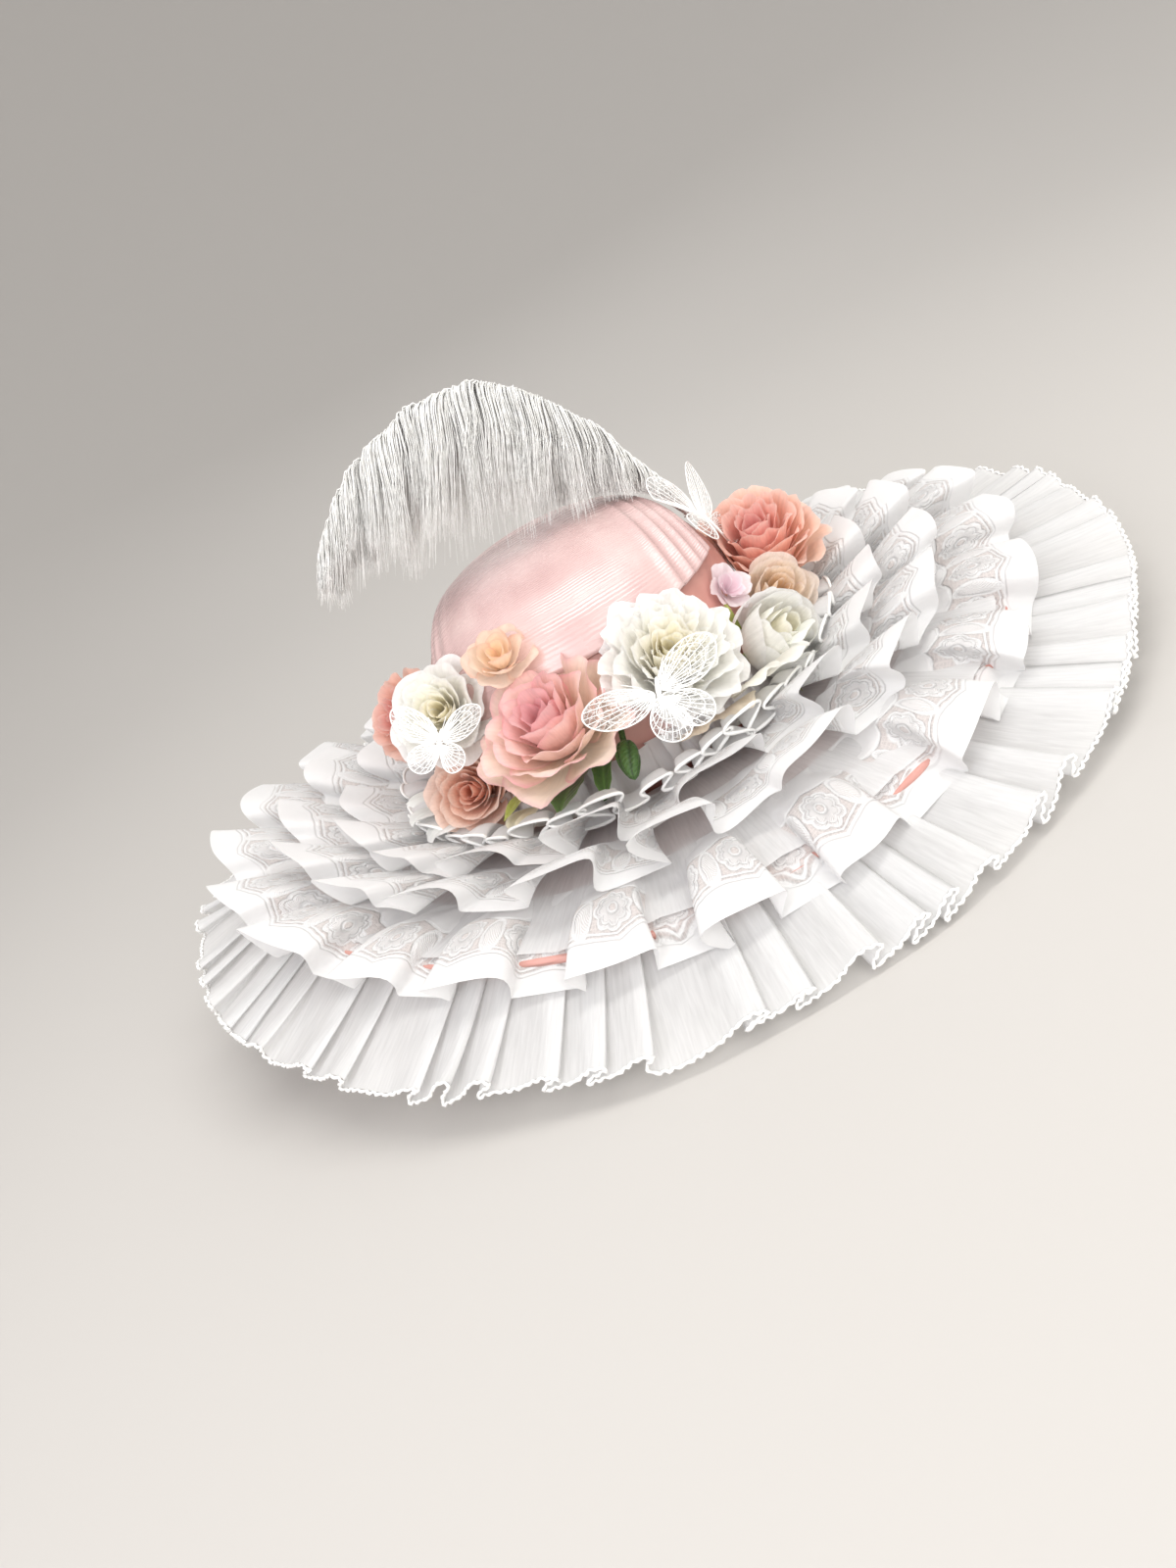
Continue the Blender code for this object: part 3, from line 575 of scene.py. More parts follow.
def softFold(phase):
    return math.tanh(0.9 * math.sin(phase)) / math.tanh(0.9)


def rufflePoint(row, azimuth, share):
    look, turn = ruffleLook, row["turn"]
    drift = waves(0.0, azimuth, [(3, turn, 0.75), (8, 2 * turn, 0.45)])
    phase = row["folds"] * azimuth + turn + drift
    wild = waves(1.0, azimuth, [(7, 1.3 + turn, 0.22), (11, 2.1 * turn, 0.20)])
    across = between(row["across"], share) + look["leftReach"] * share * math.cos(azimuth - look["left"])
    hang = share ** 1.5
    gathers = 0.8 * math.exp(-((share - 0.30) / 0.18) ** 2) * math.sin(3.0 * phase + 4 * share + turn)
    flutter = 1.1 * share ** 3 * math.sin(3.0 * phase + 1.7 * math.sin(5 * azimuth))
    twist = 0.9 * (1 - share) * math.sin(5 * azimuth + turn)
    height = between(row["rise"], share) + between(row["swing"], share) * wild * softFold(phase + twist)
    height += row["lift"] * share * max(0.0, math.cos(azimuth - look["right"])) ** 2
    height -= row["sag"] * share ** 2 * max(0.0, math.cos(azimuth - look["front"])) ** 0.5
    height += gathers + flutter
    across += 0.034 * hang * math.sin(phase + 0.5) + 0.012 * share ** 3 * math.sin(2 * phase + 2.0 * turn)
    height = max(height, look["clear"] if across < 1.0 else row["cling"])
    aside = row["overhang"] * mm * hang * wild * math.sin(2 * phase) + 2.0 * mm * hang * math.sin(phase + 1.0)
    p = brimTop(azimuth, across)
    q = brimTop(azimuth - aside / math.hypot(p.x, p.y), across)
    q.z += height * mm
    return q


def makeRuffle(row):
    rows, sections = ruffleLook["rows"], row["folds"] * ruffleLook["perFold"]
    points = [rufflePoint(row, 2 * math.pi * i / sections, j / (rows - 1))
              for i in range(sections) for j in range(rows)]
    down = np.mean([alongLengths(points[i * rows:(i + 1) * rows]) for i in range(0, sections, 9)], axis=0)
    deep = float(down[-1])
    piece, _, long = makeCloth(row["name"] + "_lace", points, rows, embroideredLace,
                               [deep - float(d) for d in down], row["name"])
    print(row["name"], "cloth", round(long, 3), "by", round(deep, 3))


for row in ruffleRows:
    makeRuffle(row)

# underlay: one loose layer of chiffon over the brim, gathered at the crown, that shows between the tiers

underlayLook = {"across": (0.03, 0.35, 0.66, 0.965), "rise": (1.3, 1.6, 1.9, 2.2),
                "swing": (0.2, 0.8, 1.3, 1.7), "folds": 41, "perFold": 16, "rows": 22}


def makeUnderlay():
    look = underlayLook
    sections, rows = look["folds"] * look["perFold"], look["rows"]
    points = []
    for i in range(sections):
        azimuth = 2 * math.pi * i / sections
        phase = look["folds"] * azimuth + 1.1 * math.sin(4 * azimuth)
        for j in range(rows):
            share = j / (rows - 1)
            across = between(look["across"], share) + 0.012 * share ** 3 * math.sin(phase + 0.8)
            across += 0.018 * share ** 3 * math.sin(6 * azimuth + 1.0)
            aside = 1.6 * mm * share * math.sin(2 * phase) / hat["brimRadius"]
            p = brimTop(azimuth - aside, across)
            fold = 0.5 + 0.5 * softFold(phase)
            p.z += (between(look["rise"], share) + between(look["swing"], share) * fold) * mm
            points.append(p)
    down = alongLengths(points[:rows])
    piece, _, long = makeCloth("brim_underlay", points, rows, crinkleChiffon, down)


makeUnderlay()
print("ruffles ready")

# heading: the gathered strip at the crown's foot, whose tight loops fall out over the inner ruffle

# as for the ruffles, and sway: how far a fold swings over the brim, in mm
headingLook = {"folds": 44, "perFold": 28, "rows": 17, "across": (0.05, 0.055, 0.10, 0.20, 0.30),
               "rise": (25, 15, 7.5, 16.5, 15.5), "sway": (3.2, 2.4, 0.8, 1.4, 2.6),
               "swing": (0.8, 0.6, 0.5, 3.6, 6.0), "overhang": (2.8, 1.6, 0.3, 2.6, 5.6), "hem": 0.85 * mm,
               "brimWide": 112, "reach": 0.11, "nearest": 0.018, "lowest": 2.0}


def makeHeading():
    look = headingLook
    sections, rows = look["folds"] * look["perFold"], look["rows"]
    points = []
    for i in range(sections):
        azimuth = 2 * math.pi * i / sections
        phase = waves(look["folds"] * azimuth, azimuth, [(5, 0.0, 1.3), (13, 0.0, 0.8)])
        wild = waves(1.0, azimuth, [(9, 0.5, 0.30), (23, 0.0, 0.2)])
        for j in range(rows):
            share = j / (rows - 1)
            across, rise, sway, swing, overhang = (
                between(look[k], share) for k in ("across", "rise", "sway", "swing", "overhang"))
            across += sway * wild * math.sin(phase + 0.4) / look["brimWide"]
            height = rise * (0.86 + 0.14 * wild) + swing * wild * math.sin(phase)
            turned = azimuth - overhang * mm * wild * math.sin(2 * phase) / look["reach"]
            p = brimTop(turned, max(across, look["nearest"]))
            p.z += max(height, look["lowest"]) * mm
            points.append(p)
    deep = alongLengths(points[:rows])[-1]
    piece, hem, long = makeCloth("ruffle_heading", points, rows, softChiffon,
                                 [deep * j / (rows - 1) for j in range(rows)])
    return piece, hem, (long, deep)


heading, headingHem, headingFlat = makeHeading()

# edge frill: knife pleats under the rim that open towards the hem, which is overlocked in small points

# droop in degrees, most at droopAzimuth; depth of a pleat at seam and hem; ride: its share above the mean
frillLook = {"pleats": 64, "perPleat": 16, "rows": 18, "width": 54 * mm, "droop": 7.0, "droopSway": 12.0,
             "droopAzimuth": math.radians(245), "seamInset": 2.5 * mm, "seamBelow": 1.6 * mm,
             "depth": (0.8 * mm, 7.2 * mm), "ride": 0.55}


def frillPoint(turn, share):
    look = frillLook
    uneven = 0.30 * math.sin(2 * math.pi * 9 * turn), 0.22 * math.sin(2 * math.pi * 23 * turn)
    pleat = turn * look["pleats"] + uneven[0] + uneven[1]
    inPleat = pleat % 1.0
    azimuth = 2 * math.pi * turn
    wild = waves(1.0, azimuth, [(17, 0.7, 0.38), (29, 2.0, 0.30)])
    lean = 0.40 - 0.08 * share * wild
    shift = -lean * math.cos(2 * math.pi * inPleat) + 0.06 * math.sin(4 * math.pi * inPleat)
    azimuth += 2 * math.pi * shift / look["pleats"]
    fall = math.radians(look["droop"] + look["droopSway"] * math.cos(azimuth - look["droopAzimuth"]))
    width = look["width"] * (1 + 0.018 * math.sin(13 * azimuth) * share)
    reach = hat["brimRadius"] - look["seamInset"] + (look["seamInset"] + width * math.cos(fall)) * share
    inner = ovalRadius(azimuth)
    across = min(1.0, (reach - inner) / (hat["brimRadius"] - inner))
    base = brimTop(azimuth, across).z - hat["brimThick"] - look["seamBelow"]
    past = max(0.0, reach - hat["brimRadius"]) / math.cos(fall)
    atSeam, atHem = look["depth"]
    depth = (atSeam + (atHem - atSeam) * share ** 0.8) * (1 + (wild - 1) * share)
    down = 0.5 + 0.5 * math.cos(2 * math.pi * inPleat)
    height = base - past * math.sin(fall) - depth * down + look["ride"] * depth * share
    height += 0.7 * mm * share ** 4 * math.sin(6 * math.pi * pleat)
    return around(reach, azimuth, height)


def makeFrill():
    look = frillLook
    sections, rows = look["pleats"] * look["perPleat"], look["rows"]
    points = [frillPoint(i / sections, j / (rows - 1)) for i in range(sections) for j in range(rows)]
    piece, hem, long = makeCloth("edge_frill_chiffon", points, rows, crinkleChiffon,
                                 [look["width"] * j / (rows - 1) for j in range(rows)], "edge_frill")
    print("frill cloth", round(long, 3))
    return piece, hem, long


frill, frillHem, frillLength = makeFrill()
print("frill ready")


# strands: a tree that turns paths into tapered strands; the radius of each point is in the attribute "thick"

def makeStrandTree():
    tree = bpy.data.node_groups.new("strands", "GeometryNodeTree")
    for name, kind in (("Geometry", "Geometry"), ("Sides", "Int"), ("Thickness", "Float"),
                       ("Finish", "Material")):
        tree.interface.new_socket(name, in_out="INPUT", socket_type="NodeSocket" + kind)
    tree.interface.new_socket("Geometry", in_out="OUTPUT", socket_type="NodeSocketGeometry")
    given = addNode(tree, "NodeGroupInput")
    result = addNode(tree, "NodeGroupOutput")
    paths = addNode(tree, "GeometryNodeMeshToCurve", {0: given.outputs[0]})
    thick = addNode(tree, "GeometryNodeInputNamedAttribute", {"Name": "thick"}, data_type="FLOAT")
    scaled = addNode(tree, "ShaderNodeMath", {0: thick, 1: given.outputs[2]}, operation="MULTIPLY")
    sized = addNode(tree, "GeometryNodeSetCurveRadius", {"Curve": paths, "Radius": scaled})
    section = addNode(tree, "GeometryNodeCurvePrimitiveCircle",
                      {"Resolution": given.outputs[1], "Radius": 1.0})
    body = addNode(tree, "GeometryNodeCurveToMesh",
                   {"Curve": sized, "Profile Curve": section, "Fill Caps": True})
    if "Scale" in body.inputs:
        tree.links.new(scaled.outputs[0], body.inputs["Scale"])
    real = addNode(tree, "GeometryNodeRealizeInstances", {0: body})
    done = addNode(tree, "GeometryNodeSetMaterial", {"Geometry": real, "Material": given.outputs[3]})
    tree.links.new(done.outputs[0], result.inputs[0])
    return tree


strandTree = makeStrandTree()


def makeStrands(name, paths, sides, material, closed=False):
    # paths: lists of (point, radius)
    mesh = bpy.data.meshes.new(name)
    points, edges, radii = [], [], []
    for path in paths:
        start = len(points)
        for point, radius in path:
            points.append(tuple(point))
            radii.append(radius)
        edges += [(k, k + 1) for k in range(start, len(points) - 1)]
        if closed:
            edges.append((len(points) - 1, start))
    mesh.from_pydata(points, edges, [])
    layer = mesh.attributes.new("thick", "FLOAT", "POINT")
    layer.data.foreach_set("value", radii)
    carrier = bpy.data.objects.new(name + "_paths", mesh)
    bpy.context.scene.collection.objects.link(carrier)
    modifier = carrier.modifiers.new("strands", "NODES")
    modifier.node_group = strandTree
    given = {"Sides": sides, "Thickness": 1.0, "Finish": material}
    for item in strandTree.interface.items_tree:
        if item.in_out == "INPUT" and item.name in given:
            modifier[item.identifier] = given[item.name]
    evaluated = carrier.evaluated_get(bpy.context.evaluated_depsgraph_get())
    made = bpy.data.meshes.new_from_object(evaluated)
    made.name = name
    made.shade_smooth()
    piece = bpy.data.objects.new(name, made)
    bpy.context.scene.collection.objects.link(piece)
    bpy.data.objects.remove(carrier)
    return piece


# thread: spun polyester overlock thread, matt and slightly fuzzy, so it only catches light broadly
overlockThread, threadTree, threadShader = newMaterial(
    "overlockThread", {"Base Color": linear("#F7F7F5"), "Roughness": 0.7, "Sheen Weight": 0.4})
threadPlace = addNode(threadTree, "ShaderNodeTexCoord").outputs[3]
threadNoise = addNode(threadTree, "ShaderNodeTexNoise",
                      {"Vector": threadPlace, "Scale": 900.0, "Detail": 2.0})
threadBump = addNode(threadTree, "ShaderNodeBump",
                     {"Height": threadNoise, "Strength": 0.6, "Distance": 0.2 * mm})
feed(threadTree, threadShader, {"Normal": threadBump})

picotLook = {"gap": 4.6 * mm, "reach": 1.5 * mm, "thread": 0.72 * mm, "step": 1.15 * mm}


def makePicot():
    look = picotLook
    lengths = np.array(alongLengths(frillHem + frillHem[:1]))
    spots = np.array([tuple(p) for p in frillHem + frillHem[:1]])
    count = int(lengths[-1] / look["step"])
    path = []
    for n in range(count):
        far = lengths[-1] * n / count
        p = Vector([float(np.interp(far, lengths, spots[:, k])) for k in range(3)])
        wave = abs(math.sin(math.pi * far / look["gap"]))
        out = Vector((p.x, p.y, 0)).normalized()
        p += out * (look["reach"] * wave) + Vector((0, 0, 0.3 * mm * math.sin(2.1 * n)))
        path.append((p, look["thread"] * (0.75 + 0.5 * wave)))
    piece = makeStrands("frill_picot", [path], 4, overlockThread, closed=True)
    return dress(piece, "white_chiffon")


def makeRolledHem():
    # the heading's raw edge is rolled into a round, bright cord
    path = [(p + Vector((0, 0, 0.3 * mm)), headingLook["hem"] * (1 + 0.18 * math.sin(0.9 * k)))
            for k, p in enumerate(headingHem)]
    piece = makeStrands("heading_rolled_hem", [path], 6, overlockThread, closed=True)
    return dress(piece, "white_chiffon")


picot = makePicot()
rolledHem = makeRolledHem()
print("picot edge ready")

# petals: dyed polyester petal cloth, matt and thin, heat-curled, with faint veins and paler or darker rims
petalSilk, petalTree, petalShader = newMaterial(
    "dyedPetalSilk", {"Roughness": 0.62, "Sheen Weight": 0.3, "Specular IOR Level": 0.3})
petalTint = addNode(petalTree, "ShaderNodeVertexColor", layer_name="tint")
petalCloth = addNode(petalTree, "ShaderNodeUVMap", uv_map="cloth")
petalStretch = addNode(petalTree, "ShaderNodeMapping",
                       {"Vector": petalCloth, "Scale": (1 / (1.5 * mm), 60.0, 1.0)})
petalVeins = addNode(petalTree, "ShaderNodeTexNoise", {"Vector": petalStretch, "Scale": 1.0, "Detail": 3.0})
petalCrease = addNode(petalTree, "ShaderNodeTexNoise", {"Vector": petalCloth, "Scale": 260.0, "Detail": 3.0})
petalRelief = addNode(petalTree, "ShaderNodeMath",
                      {0: petalVeins, 1: petalCrease.outputs[0]}, operation="ADD")
petalBump = addNode(petalTree, "ShaderNodeBump",
                    {"Height": petalRelief, "Strength": 0.7, "Distance": 0.5 * mm})
petalDye = addNode(petalTree, "ShaderNodeMapRange", {0: petalVeins, 1: 0.25, 2: 0.75, 3: 0.90, 4: 1.04})
petalMix = addNode(petalTree, "ShaderNodeVectorMath",
                   {0: petalTint.outputs[0], 1: petalDye}, operation="MULTIPLY")
feed(petalTree, petalShader, {"Normal": petalBump, "Base Color": petalMix})
letThrough(petalTree, petalShader, 0.38, petalMix.outputs[0])

# seat: where it is sewn on, in degrees round the crown and mm up; face: the way its heart looks, in degrees
# turn and tilt: the way from its seat to its middle; ease: how far it stands off the crown, in mm
# whorls, from the heart out: petals in each, and the share of radius and depth that their tips reach
# bow: how far a petal bends, in degrees; below 0 it cups inwards like a bowl
# dyes: at the flower's heart, of its inner and outer petals, and along their rims
flowers = [
    {"name": "coral_rose", "seat": (2, 42), "turn": -34, "tilt": 30, "face": (-84, 60), "across": 68,
     "deep": 38, "ease": 3.4,
     "whorls": [(2, 0.13, 0.98), (3, 0.22, 1.04), (3, 0.33, 1.06), (4, 0.46, 1.0), (4, 0.60, 0.97),
                (5, 0.74, 0.90), (5, 0.88, 0.80), (5, 1.0, 0.60)],
     "bow": -26, "frill": 3.0, "curl": 60, "dyes": ("#EE9088", "#FAB8A0", "#FFD2B4", "#FEDCD0")},
    {"name": "apricot_rose", "seat": (335, 33), "turn": -8, "tilt": 14, "face": (-70, 30), "across": 42,
     "deep": 30,
     "whorls": [(2, 0.12, 0.92), (2, 0.22, 0.96), (3, 0.36, 1.0), (3, 0.52, 1.0), (3, 0.68, 0.98),
                (4, 0.84, 0.92)],
     "bow": -44, "frill": 0.7, "curl": 40, "dyes": ("#FFDEB0", "#FFECD2", "#FFF4E6", "#FFEEE6")},
    {"name": "white_rosebud", "seat": (315, 24), "turn": 0, "tilt": 20, "face": (-54, 26), "across": 57,
     "deep": 38,
     "whorls": [(2, 0.10, 0.92), (2, 0.19, 0.96), (3, 0.30, 1.0), (3, 0.42, 1.0), (3, 0.54, 0.96),
                (3, 0.64, 0.90)],
     "bow": -60, "frill": 0.6, "curl": 44, "dyes": ("#FFF8DC", "#FFFDF4", "#FFFFFC", "#FFFFFF")},
    {"name": "hydrangea_floret", "seat": (319, 56), "turn": 0, "tilt": 20, "face": (-56, 26),
     "across": 24, "deep": 10,
     "whorls": [(4, 0.55, 1.0), (4, 1.0, 0.85)],
     "bow": 6, "frill": 1.3, "curl": 20, "dyes": ("#EFCEDA", "#F4DFE7", "#F9EBF0", "#FDF5F8")},
    {"name": "cream_peony", "seat": (284, 49), "turn": 0, "tilt": 34, "face": (-66, 44), "across": 68,
     "deep": 30, "ease": 0.7,
     "whorls": [(4, 0.12, 0.90), (5, 0.22, 0.98), (5, 0.34, 1.02), (6, 0.47, 1.0), (6, 0.60, 0.97),
                (6, 0.74, 0.90), (6, 0.88, 0.78), (5, 1.0, 0.56)],
     "bow": -24, "frill": 4.4, "curl": 52, "dyes": ("#FFF5D0", "#FFFCF2", "#FFFFFC", "#FFFFFF")},
    {"name": "blush_rose", "seat": (251, 48), "turn": 0, "tilt": 34, "face": (-112, 60), "across": 72,
     "deep": 36, "ease": 0.6,
     "whorls": [(2, 0.13, 0.98), (3, 0.22, 1.04), (3, 0.33, 1.04), (4, 0.46, 0.98), (4, 0.62, 0.92),
                (5, 0.80, 0.82), (5, 1.0, 0.60)],
     "bow": -28, "frill": 3.4, "curl": 58, "dyes": ("#F3B2B6", "#FCD8CE", "#FEEBD2", "#F2B0B6")},
    {"name": "apricot_bud", "seat": (243, 86), "turn": 0, "tilt": 45, "face": (-84, 56), "across": 34,
     "deep": 16,
     "whorls": [(2, 0.24, 1.0), (3, 0.44, 1.02), (4, 0.70, 0.92), (4, 1.0, 0.62)],
     "bow": -30, "frill": 0.9, "curl": 30, "dyes": ("#FEE2BC", "#FFE8CE", "#FFEEDC", "#F6C6AE")},
    {"name": "cream_rose", "seat": (215, 72), "turn": 22, "tilt": 24, "face": (-100, 34), "across": 52,
     "deep": 24, "ease": 1.2,
     "whorls": [(2, 0.13, 0.94), (3, 0.24, 1.0), (3, 0.36, 1.02), (4, 0.50, 1.0), (4, 0.66, 0.94),
                (5, 0.84, 0.84), (5, 1.0, 0.64)],
     "bow": -22, "frill": 1.3, "curl": 48, "dyes": ("#FFF6D6", "#FFFCF0", "#FFFFFC", "#FFFFFF")},
    {"name": "coral_rose_left", "seat": (167, 54), "turn": 8, "tilt": 20, "face": (-140, 40),
     "across": 48, "deep": 34,
     "whorls": [(2, 0.14, 0.98), (3, 0.28, 1.02), (3, 0.44, 1.0), (4, 0.62, 0.95), (5, 0.82, 0.86),
                (5, 1.0, 0.66)],
     "bow": -26, "frill": 2.0, "curl": 58, "dyes": ("#EE9088", "#F9B6A2", "#FFCEB4", "#FEDCD0")},
    {"name": "peach_rose", "seat": (215, 29), "turn": 8, "tilt": 22, "face": (-104, 26), "across": 46,
     "deep": 31,
     "whorls": [(2, 0.11, 0.92), (2, 0.20, 0.97), (3, 0.31, 1.0), (3, 0.44, 1.0), (4, 0.60, 0.97),
                (4, 0.80, 0.89), (4, 1.0, 0.74)],
     "bow": -24, "frill": 0.8, "curl": 54, "dyes": ("#FFBA98", "#FFD0B6", "#FFDECC", "#FFE8DC")},
]


# width: the narrowest and widest petal, in shares of the flower's radius; lap: its width over its own place
# longer: a petal's length by its straight line; innerShare: how far out the inner dye reaches
# dark: how much of a dye's darkness is kept, for little light gets between the petals
petalLook = {"rows": 17, "cols": 19, "width": (0.62, 1.3), "lap": 1.15, "steps": 31, "longer": 1.08,
             "dark": 0.84, "innerShare": 0.45}


def outsideCrown(spots, margin):
    # points that would lie in the crown, or nearer than margin, are pushed straight out of it
    foot = np.array([0, 0, hat["foot"]])
    room = np.array([hat["halfWidth"] + margin, hat["halfLength"] + margin,
                     hat["height"] - hat["foot"] + margin])
    parts = (spots - foot) / room
    level = np.hypot(parts[..., 0], parts[..., 1]) ** 3 + np.maximum(parts[..., 2], 0) ** 3
    push = np.where(level < 1, np.maximum(level, 0.05) ** (-1 / 3), 1.0)
    push = np.where(spots[..., 2] > hat["foot"], push, 1.0)
    return foot + parts * push[..., None] * room


def pointing(azimuth, rise):
    azimuth, rise = math.radians(azimuth), math.radians(rise)
    return Vector((math.cos(azimuth) * math.cos(rise), math.sin(azimuth) * math.cos(rise), math.sin(rise)))


def flowerFrame(row):
    # the flower's middle stays where the CAD part has it, while its heart looks the way that "face" says
    azimuth, height = math.radians(row["seat"][0]), row["seat"][1] * mm
    onSash = height > 58 * mm and 203 < row["seat"][0] < 335
    standOff = ((2.5 if onSash else -0.2) + row.get("ease", 0.0)) * mm
    back = domePoint(azimuth, domeShare(height, standOff), standOff)
    outward = pointing(*row["face"])
    middle = back + pointing(row["seat"][0] + row["turn"], row["tilt"]) * row["deep"] * mm * 0.5
    side = Vector((-outward.y, outward.x, 0.0)).normalized()
    return middle - outward * row["deep"] * mm * 0.5, outward, side, outward.cross(side)


def petalPoints(root, tip, width, least, bow, curl, frill, chance, rows=petalLook["rows"],
                cols=petalLook["cols"], pinch=0.35):
    # one petal round an axis: root and tip are (out, along), least is its tightest bend across
    far = math.hypot(tip[0] - root[0], tip[1] - root[1])
    chord = math.atan2(tip[0] - root[0], tip[1] - root[1])
    steps, longer = petalLook["steps"], petalLook["longer"]
    s = np.linspace(0, 1, steps)
    slope = chord + np.radians(bow) * (2 * s - 1) + np.radians(curl) * np.clip((s - 0.70) / 0.30, 0, 1) ** 1.6
    halfway = (slope[1:] + slope[:-1]) / 2
    outLine, alongLine = [start + np.concatenate([[0], np.cumsum(turned)]) * far * longer / (steps - 1)
                          for start, turned in zip(root, (np.sin(halfway), np.cos(halfway)))]
    a = np.linspace(-1, 1, cols)[None, :]
    b = np.linspace(0, 1, rows)
    phase, count = chance.uniform(0, 6.3), chance.uniform(2.4, 4.4)
    dent = chance.uniform(-0.3, 0.3)
    # broad round tip, slightly dented, with a crinkled edge
    tipLine = 1 - 0.30 * np.abs(a) ** 2.6 - 0.045 * np.exp(-((a - dent) / 0.2) ** 2)
    tipLine = tipLine + 0.012 * frill / mm * np.sin(7 * a + phase)
    tipLine = tipLine + 0.006 * frill / mm * np.sin(15 * a + 3.1 * phase) * (0.4 + 0.6 * np.abs(a))
    reached = b[:, None] * tipLine
    out, along, lean = (np.interp(reached, s, values) for values in (outLine, alongLine, slope))
    spread = np.clip(reached / 0.62, 0, 1)
    half = width / 2 * (pinch + (1 - pinch) * spread * spread * (3 - 2 * spread))
    bend = np.maximum(out, least)
    angle = np.clip(a * half / bend, -2.7, 2.7)
    lap = 1 + 0.12 * a                                 # one side laps under the next petal
    aside = bend * lap * np.sin(angle)
    radial = out * lap - bend * lap * (1 - np.cos(angle))
    wave = frill * reached ** 2.4 * (0.30 + 0.70 * np.abs(a) ** 1.3) * np.sin(count * a * 2 + phase)
    wave += 0.34 * frill * reached ** 3 * np.sin(9 * a + 2 * phase + 3 * reached)
    wave += 0.16 * frill * np.sin(7 * reached + phase) * np.sin(3.3 * a + 1.7 * phase) * reached
    crease = np.abs(np.sin(2.3 * a + 2.9 * reached + phase))
    crease = crease - np.abs(np.sin(3.4 * a - 2.2 * reached + 2.6 * phase))
    wave += 0.42 * frill * crease * reached ** 1.3
    wave += 0.16 * frill * np.sin(14 * a + 2.3 * phase) * reached ** 5
    # the corners peel outwards
    wave += far * 0.9 * np.clip(reached - 0.55, 0, 1) ** 2 * np.abs(a) ** 2.5 * chance.uniform(0.2, 1.0)
    radial = radial + wave * np.cos(lean) * np.cos(angle)
    return radial, aside + wave * np.sin(angle), along - wave * np.sin(lean), b, a


def newGather():
    return {"points": [], "faces": [], "uvs": [], "tints": []}


def addPetal(gather, flower, theta, grid, colour):
    # puts a petal's points, faces, cloth places and colours in gather
    back, outward, side, over = flower
    radial, aside, along, _, a = grid
    rows, cols = radial.shape
    outDir = side * math.cos(theta) + over * math.sin(theta)
    sideDir = over * math.cos(theta) - side * math.sin(theta)
    start = len(gather["points"])
    spots = (np.array(back)[None, None, :] + np.array(outDir) * radial[..., None]
             + np.array(sideDir) * aside[..., None] + np.array(outward) * along[..., None])
    spots = outsideCrown(spots, 1.0 * mm + 0.04 * mm * (start // (rows * cols)))
    gather["points"] += [tuple(p) for p in spots.reshape(-1, 3)]
    gather["tints"] += [tuple(c) for c in colour.reshape(-1, 4)]
    gather["faces"] += gridFaces(rows, cols, False, start)
    middle = cols // 2
    size = float(np.hypot(radial[-1, middle] - radial[0, middle], along[-1, middle] - along[0, middle]))
    shift = 0.37 * len(gather["faces"]) / 100
    gather["uvs"] += gridUvs(rows, cols, False,
                             lambda i, j: (shift + a[0, j] * size / 2, shift + size * i / (rows - 1)))


def makePetals(name, gather, material, slotName, *nodes):
    piece = makePiece(name, gather["points"], gather["faces"], material, gather["uvs"], gather["tints"])
    return dress(piece, slotName, *nodes)


def petalColours(row, share, b, a, chance):
    heart, inner, outer, rim = (linear(dye) for dye in row["dyes"])
    part = petalLook["innerShare"]
    if share < part:
        base = heart + (inner - heart) * min(1.0, share * 2.2)
    else:
        base = inner + (outer - inner) * (share - part) / (1 - part)
    edge = np.exp(-(1 - b[:, None]) / 0.10) * (0.55 + 0.45 * np.abs(a)) + np.abs(a) ** 9 * 0.6
    edge = np.clip(edge, 0, 1)[..., None]
    # painted shade: each petal is darker towards its root, deep inside the flower
    paintedRootShade = (0.92 + 0.08 * np.clip(b * 1.6, 0, 1))[:, None, None]
    colour = (base + (rim - base) * edge) * paintedRootShade * chance.uniform(0.96, 1.03)
    colour = 1 - (1 - colour) * petalLook["dark"]
    colour[..., 3] = 1.0
    return np.clip(colour, 0, 1)


def makeFlower(row):
    chance = random.Random(row["name"])
    radius, deep = row["across"] / 2 * mm, row["deep"] * mm
    narrowest, widest = petalLook["width"]
    flower, gather = flowerFrame(row), newGather()
    turn = chance.uniform(0, 6.3)
    last = max(1, len(row["whorls"]) - 1)
    for k, (count, out, high) in enumerate(row["whorls"]):
        share = k / last
        turn += math.pi / count + 0.3
        for n in range(count):
            theta = turn + 2 * math.pi * n / count + chance.uniform(-0.12, 0.12)
            reach = radius * out * chance.uniform(0.92, 1.03)
            root = (radius * (0.03 + 0.16 * share), deep * 0.06)
            tip = (reach, deep * high * chance.uniform(0.95, 1.02))
            width = 2 * math.pi * reach / count * petalLook["lap"]
            width = min(max(width, radius * narrowest), radius * widest)
            grid = petalPoints(root, tip, width, radius * 0.09, row["bow"] * (0.5 + 0.5 * share),
                               row["curl"] * (0.25 + 0.75 * share), row["frill"] * mm * (0.3 + 0.7 * share),
                               chance)
            addPetal(gather, flower, theta, grid, petalColours(row, share, grid[3], grid[4], chance))
    makePetals(row["name"] + "_petals", gather, petalSilk, flowerSlots[row["name"]], row["name"])


flowerSlots = {entry["node"]: entry["material_slot"] for entry in frame["record"]["subparts"]}
for row in flowers:
    makeFlower(row)
print("flowers ready")

